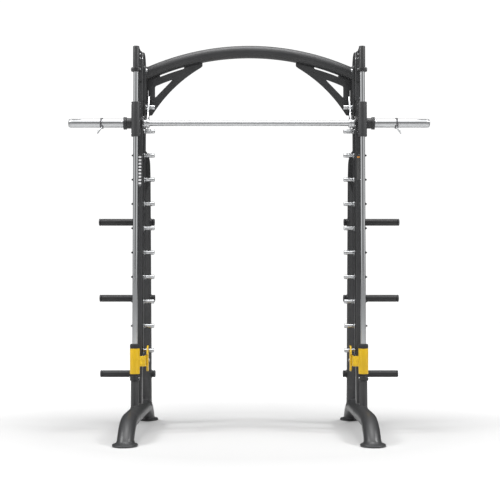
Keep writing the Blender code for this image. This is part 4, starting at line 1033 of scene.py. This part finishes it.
def bar_hook():
    """The hook plate and its hub."""
    to_peg = Vector((PEG_Y - BAR_AXIS.y, PEG_HIGHEST - BAR_AXIS.z))
    reach = to_peg.length
    rest = math.atan2(to_peg.y, to_peg.x) + HOOK_TURN
    throat = PEG_RADIUS + THROAT_CLEARANCE
    inside = reach - throat
    outside = reach + throat
    tip = outside + 0.010
    outline = [(0.0, -0.024), (0.6 * inside, -0.020), (inside - 0.003, -0.018), (inside, -0.015)]
    outline += arc((reach, 0), throat, math.pi, 0, 24)
    outline += [(outside, -0.005), (outside + 0.002, -0.007), (tip - 0.002, -0.006), (tip, -0.002)]
    outline += arc((tip - 0.020, throat + 0.0135 - 0.020), 0.020, 0, math.pi / 2, 10)
    outline += [(0.75 * inside, throat + 0.0135), (0.4 * inside, 0.022), (0.0, 0.024)]
    pivot = (BAR_AXIS.y, BAR_AXIS.z)
    low = HOOK_X - HOOK_THICKNESS / 2
    high = HOOK_X + HOOK_THICKNESS / 2
    arm = slab("arm", turned_points(outline, pivot, rest), 0.003, 3, low, high, "X", 0.0010)
    bore = SHAFT.size.y / 2 + GAP
    hub_end = BEARING.low.x - 0.0015
    hub = soft_lathe("hub", [(low - 0.006, bore + 0.002), (low - 0.006, HUB_RADIUS),
        (low - 0.0001, HUB_RADIUS), (low - 0.0001, 0.030), (high + 0.0001, 0.030),
        (high + 0.0001, HUB_RADIUS), (hub_end, HUB_RADIUS), (hub_end, bore + 0.002)], 0.0012, BAR_AXIS,
        ACROSS, FINE, bore)
    return merged("hook", [arm, hub])


def build_barbell():
    half = SHAFT.size.x / 2
    radius = SHAFT.size.y / 2
    shaft = barrel("bar_shaft_fine", -half, half, radius, 0.002, 0.001, BAR_AXIS, ACROSS)
    dress(shaft, "barbell", shaft_chrome, "chrome", "bar_shaft")
    journal = CARRIAGE.high.x + RUNNING_GAP
    outer = SLEEVE.size.y / 2
    bore = radius + GAP
    profile = [(SLEEVE.low.x, bore + 0.002), (SLEEVE.low.x, SPIGOT_RADIUS), (journal, SPIGOT_RADIUS),
        (journal, outer), (journal + 0.0085, outer), (journal + 0.0095, outer - 0.0009),
        (journal + 0.0105, outer), (SLEEVE.high.x - 0.006, outer), (SLEEVE.high.x - 0.0052, outer - 0.0006),
        (SLEEVE.high.x - 0.0044, outer), (SLEEVE.high.x, outer), (SLEEVE.high.x, bore + 0.002)]
    sleeve = soft_lathe("sleeve", profile, 0.0007, BAR_AXIS, ACROSS, FINE, bore)
    pair("bar_sleeve", sleeve, "barbell", bar_chrome, "chrome")
    start, end, rim = CAP.low.x, CAP.high.x, CAP.size.y / 2
    dome = [(start, 0.002), (start, rim), (start + 0.003, rim)]
    steps = 12
    for i in range(1, steps):
        turn = math.pi / 2 * i / steps
        dome.append((start + 0.003 + (end - start - 0.003) * math.sin(turn), rim * math.cos(turn) ** 0.6))
    dome.append((end, 0))
    cap = lathe("cap", dome, BAR_AXIS, ACROSS)
    pair("bar_end_cap", cap, "barbell", rod_chrome, "chrome", smooth=50)
    pair("bar_hook", bar_hook(), "barbell", *PLATED)
    screws = []
    for degrees in (100, 190, 280):
        turn = math.radians(degrees)
        out = Vector((0, math.cos(turn), math.sin(turn)))
        screws.append(cap_screw(BAR_AXIS + Vector((HOOK_SCREW_X, 0, 0)) + out * 0.0225, out, 0.0035, 0.0025))
    extra_pair("hook_screws", merged("screws", screws), "barbell", *ZINC_PLATED)


COLLAR_WIRE = 0.0028
COLLAR_TURNS = 2.2
COLLAR_PITCH = 0.0068
COLLAR_HANDLE = 0.040
COLLAR_LEAN = math.radians(35)
COLLAR_GRIP = 0.0010      # the dipped handle's coat over the wire


def collar_path():
    """The coil round the sleeve and its two handles, as in the frame."""
    coil = SLEEVE.size.y / 2 + RUNNING_GAP + COLLAR_WIRE
    length = COLLAR_TURNS * COLLAR_PITCH
    total = COLLAR_TURNS * 2 * math.pi
    first = -math.pi / 2 - total / 2
    steps = round(COLLAR_TURNS * 60)
    points = []
    for i in range(steps + 1):
        turn = first + total * i / steps
        points.append(Vector((length * (i / steps - 0.5), coil * math.cos(turn), coil * math.sin(turn))))
    legs = []
    for end, neighbour in ((points[0], points[1]), (points[-1], points[-2])):
        out = Vector((0, end.y, end.z)).normalized()
        onward = (end - neighbour).normalized()
        handle = out * math.cos(COLLAR_LEAN) + ACROSS * math.sin(COLLAR_LEAN)
        root = end + onward * 0.009 + out * 0.008
        legs.append([end + onward * 0.004 + out * 0.002, end + onward * 0.0075 + out * 0.0062,
            root + handle * 0.003, root + handle * COLLAR_HANDLE])
    return legs[0][::-1] + points + legs[1]


def build_collars():
    coil_centre_x = COLLAR.low.x + COLLAR_TURNS * COLLAR_PITCH / 2 + COLLAR_WIRE
    centre = Vector((coil_centre_x, BAR_AXIS.y, BAR_AXIS.z))
    path = [centre + point for point in collar_path()]
    collar = sweep("collar", path, COLLAR_WIRE, 16)
    pair("spring_collar", collar, "collar_{side}", spring_steel, "chrome")
    grips = []
    for root, tip in ((path[1], path[0]), (path[-2], path[-1])):
        start = root + (tip - root) * 0.15
        out = (tip - start).normalized()
        length = (tip - start).length + 0.0006
        coat = COLLAR_WIRE + COLLAR_GRIP
        grips.append(barrel("grip", 0, length, coat, 0.0005, 0.0010, start, out, COARSE))
    extra_pair("collar_grips", merged("grips", grips), "collar_{side}", grip_plastic, "chrome")


# ---------------- safety stops

STOP_PIVOT_Y = PEG_Y - STOP_PIVOT_BEFORE_PEG
STOP_PIVOT_Z = PEG_LOWEST - STOP_ARM_BELOW_PEG


def stop_body():
    """The yellow sleeve and its bent arm."""
    radius = STOP_RING.size.x / 2
    bore = ROD.size.x / 2 + RUNNING_GAP
    sleeve = barrel("sleeve", STOP.low.z, STOP.high.z, radius, bore + 0.002, 0.0022, ROD_AXIS, UP, FINE, bore)
    near = STOP_ARM_INNER_X
    far = near + STOP_ARM_THICKNESS
    back = STOP_PIVOT_Y + 0.009
    bend = ROD.centre.y + 0.046
    root = ROD.centre.x - 0.020
    plan = [(root, ROD.centre.y + 0.010), (near, bend - 0.010), (near, back), (far, back), (far, bend),
        (root, ROD.centre.y + 0.022)]
    half = STOP_ARM_HEIGHT / 2
    arm = slab("arm", plan, 0.0035, 4, STOP_PIVOT_Z - half, STOP_PIVOT_Z + half, "Z", 0.0015)
    return merged("stop", [sleeve, arm])


def stop_hook():
    """The rocking plate with a notch for the peg."""
    to_peg = Vector((STOP_PIVOT_BEFORE_PEG, STOP_ARM_BELOW_PEG))
    reach = to_peg.length
    rest = math.atan2(to_peg.y, to_peg.x) + STOP_HOOK_TURN
    throat = PEG_RADIUS + THROAT_CLEARANCE
    rear, low, front = 0.009, -0.062, 0.058
    top = reach + throat + 0.008
    outline = [(low + 0.004, -rear), (reach - throat, -rear)]
    outline += arc((reach, 0), throat, math.pi, 0, 24)
    outline += [(reach + throat, -rear), (top - 0.003, -rear), (top, -rear + 0.003), (top, 0.026),
        (top - 0.012, 0.042), (0.034, front), (0.030, front - 0.010), (-0.030, front - 0.010),
        (-0.034, front), (low + 0.008, front - 0.004), (low, 0.040), (low, -rear + 0.004)]
    pivot = (STOP_PIVOT_Y, STOP_PIVOT_Z)
    high = STOP_ARM_INNER_X - RUNNING_GAP
    return slab("plate", turned_points(outline, pivot, rest), 0.0035, 4, high - 0.008, high, "X", 0.0010)


def build_stops():
    pair("stop_sleeve", stop_body(), "stop_{side}", *YELLOW_PAINTED)
    pair("stop_hook", stop_hook(), "stop_hook_{side}", *YELLOW_PAINTED)
    origin = (0, STOP_PIVOT_Y, STOP_PIVOT_Z)
    plate_face = STOP_ARM_INNER_X - 0.0085
    pin = soft_lathe("pin", [(plate_face - 0.004, 0.001), (plate_face - 0.004, 0.0098), (plate_face, 0.0098),
        (plate_face, 0.0058), (STOP_ARM_INNER_X + 0.0085, 0.0058), (STOP_ARM_INNER_X + 0.0085, 0.0098),
        (STOP_ARM_INNER_X + 0.0125, 0.0098), (STOP_ARM_INNER_X + 0.0125, 0.001)], 0.0012, origin, ACROSS,
        MEDIUM)
    extra_pair("stop_pin", pin, "stop_hook_{side}", *ZINC_PLATED)
    low, high = STOP_RING.low.z, STOP_RING.high.z
    radius = STOP_RING.size.x / 2
    bore = ROD.size.x / 2 + RUNNING_GAP
    profile = [(low, bore + 0.003), (low, radius), (low + 0.007, radius), (low + 0.008, radius - 0.0008),
        (low + 0.009, radius), (high - 0.006, radius), (high, radius - 0.004), (high, bore + 0.003)]
    ring = soft_lathe("ring", profile, 0.0024, ROD_AXIS, UP, FINE, bore)
    pair("stop_ring", ring, "stop_{side}", *RUBBERY)


# ---------------- labels

LABEL_INSET = 0.0105     # of a label's middle, inwards from the column's
PRINT_THICKNESS = 0.0004

def label(name, side, centre_z, width, height, finish, lift=0.0):
    """A thin printed plate on the part of a column's front face that the rod leaves free."""
    half_w, half_h = width / 2, height / 2
    x = side * (COLUMN.centre.x - LABEL_INSET)
    face = COLUMN.low.y - lift
    corners = rectangle((x - half_w, centre_z - half_h), (x + half_w, centre_z + half_h))
    plate = prism(name, rounded(corners, 0.002, 4, closed=True), face - PRINT_THICKNESS, face + 0.0002, "Y")
    return dress(plate, "frame", finish, "frame_paint")


def build_labels():
    strip = decal("accent_bars", scaled(GREY, 1.1), (0.80, 0.80, 0.81), 0.0095, 0.40)
    label("accent_strip", -1, 1.487, 0.0155, 0.172, strip)
    notice = decal("notice_print", (0.11, 0.11, 0.11), (0.045, 0.045, 0.045), 0.0032, 0.62)
    band = decal("notice_band", (0.62, 0.24, 0.04), (0.68, 0.30, 0.06), 0.006, 0.62)
    label("notice_plate", 1, 1.505, 0.0165, 0.140, notice)
    label("notice_heading", 1, 1.567, 0.0150, 0.010, band, 0.0003)


# ---------------- floor, light and camera

CAMERA_PLACE = (0.005, -6.4235, 0.744)
CAMERA_PITCH = math.radians(2.533)
CAMERA_LENS = 81.36
SENSOR_WIDTH = 36
FLOOR_RADIUS = 40.0
FLOOR_GLOW = 0.62
FLOOR_GLOW_START = 1.1
FLOOR_GLOW_END = 4.0

# Brightness of the room against a direction's Y (from front to back) and Z (from below to above)
ROOM_BY_DEPTH = [(-1.0, 0.30), (-0.88, 0.38), (-0.76, 1.0), (0.02, 1.0), (0.18, 0.06), (1.0, 0.04)]
ROOM_BY_HEIGHT = [(-1.0, 0.55), (-0.10, 0.45), (0.0, 0.5), (0.06, 0.6), (0.30, 0.6), (0.65, 1.0), (1.0, 1.0)]
ROOM_STRENGTH = 1.5
BACKDROP_STRENGTH = 1.05   # of the plain white that the camera sees

# Name, place, aim, power, width and height
SOFTBOXES = [("ceiling_softbox", (0, -0.3, 6.5), (0, -0.2, 0), 160, 3.5, 3.0),
    ("rear_softbox", (0, 2.8, 6.8), (0, 0, 2.0), 45, 8.0, 1.6), ("left_softbox", (-4.0, -1.0, 4.5),
    (0, 0, 0.5), 120, 1.3, 1.3), ("right_softbox", (4.0, -1.0, 4.5), (0, 0, 0.5), 120, 1.3, 1.3)]


def build_floor():
    """A pale floor that brightens to white away from the object, so that it shows no horizon."""
    shape = bmesh.new()
    bmesh.ops.create_circle(shape, cap_ends=True, segments=96, radius=FLOOR_RADIUS)
    floor = new_object("floor", shape)
    floor.location.z = -0.0002
    finish = Finish("floor_paint", 0.85)
    finish.colour(finish.ramp(finish.noise(0.7, 2), [(0.3, (0.58, 0.58, 0.58)), (0.7, (0.60, 0.60, 0.60))]))
    away = finish.add("VectorMath", operation="LENGTH")
    finish.link(finish.place, away.inputs[0])
    glow = finish.span(away.outputs["Value"], 0.0, FLOOR_GLOW, FLOOR_GLOW_START, FLOOR_GLOW_END)
    finish.shader.inputs["Emission Color"].default_value = (1, 1, 1, 1)
    # Seen by the camera only: mirrored in the chrome it would wash the lower rods out
    shown = finish.maths("MULTIPLY", glow, finish.add("LightPath").outputs["Is Camera Ray"])
    finish.link(shown, finish.shader.inputs["Emission Strength"])
    floor.data.materials.append(finish.made)


def area_light(name, place, target, power, width, height):
    data = bpy.data.lights.new(name, "AREA")
    data.shape = "RECTANGLE"
    data.size = width
    data.size_y = height
    data.energy = power
    lamp = bpy.data.objects.new(name, data)
    lamp.location = place
    aim = Vector(target) - Vector(place)
    lamp.rotation_euler = aim.to_track_quat("-Z", "Y").to_euler()
    bpy.context.scene.collection.objects.link(lamp)


def build_light():
    """A bright room, dim in front and dark behind, that the camera alone sees as plain white."""
    world = bpy.data.worlds.new("studio")
    bpy.context.scene.world = world
    world.use_nodes = True
    nodes = Nodes(world.node_tree, "Generated")
    both = nodes.add("Mix", {"Factor": 1.0}, data_type="RGBA", blend_type="MULTIPLY")
    for axis, target, stops in (("Y", "A", ROOM_BY_DEPTH), ("Z", "B", ROOM_BY_HEIGHT)):
        share = nodes.span(nodes.axis(axis), 0.0, 1.0, -1, 1)
        shades = [((place + 1) / 2, (value,) * 3) for place, value in stops]
        nodes.link(nodes.ramp(share, shades), both.inputs[target])
    room = nodes.tree.nodes["Background"]
    nodes.link(both.outputs["Result"], room.inputs["Color"])
    room.inputs["Strength"].default_value = ROOM_STRENGTH
    seen = nodes.add("Background", {"Color": (1, 1, 1, 1), "Strength": BACKDROP_STRENGTH})
    choose = nodes.add("MixShader")
    nodes.link(nodes.add("LightPath").outputs["Is Camera Ray"], choose.inputs["Fac"])
    nodes.link(room.outputs["Background"], choose.inputs[1])
    nodes.link(seen.outputs["Background"], choose.inputs[2])
    nodes.link(choose.outputs["Shader"], nodes.tree.nodes["World Output"].inputs["Surface"])
    for lamp in SOFTBOXES:
        area_light(*lamp)


def build_camera():
    data = bpy.data.cameras.new("camera")
    data.lens = CAMERA_LENS
    data.sensor_width = SENSOR_WIDTH
    camera = bpy.data.objects.new("camera", data)
    camera.location = CAMERA_PLACE
    camera.rotation_euler = (math.pi / 2 + CAMERA_PITCH, 0, 0)
    bpy.context.scene.collection.objects.link(camera)
    bpy.context.scene.camera = camera


bpy.context.scene.view_settings.view_transform = "Standard"
build_base()
build_columns()
build_arch()
build_rods()
build_pegs()
build_carriages()
build_barbell()
build_collars()
build_stops()
build_labels()
build_floor()
build_light()
build_camera()
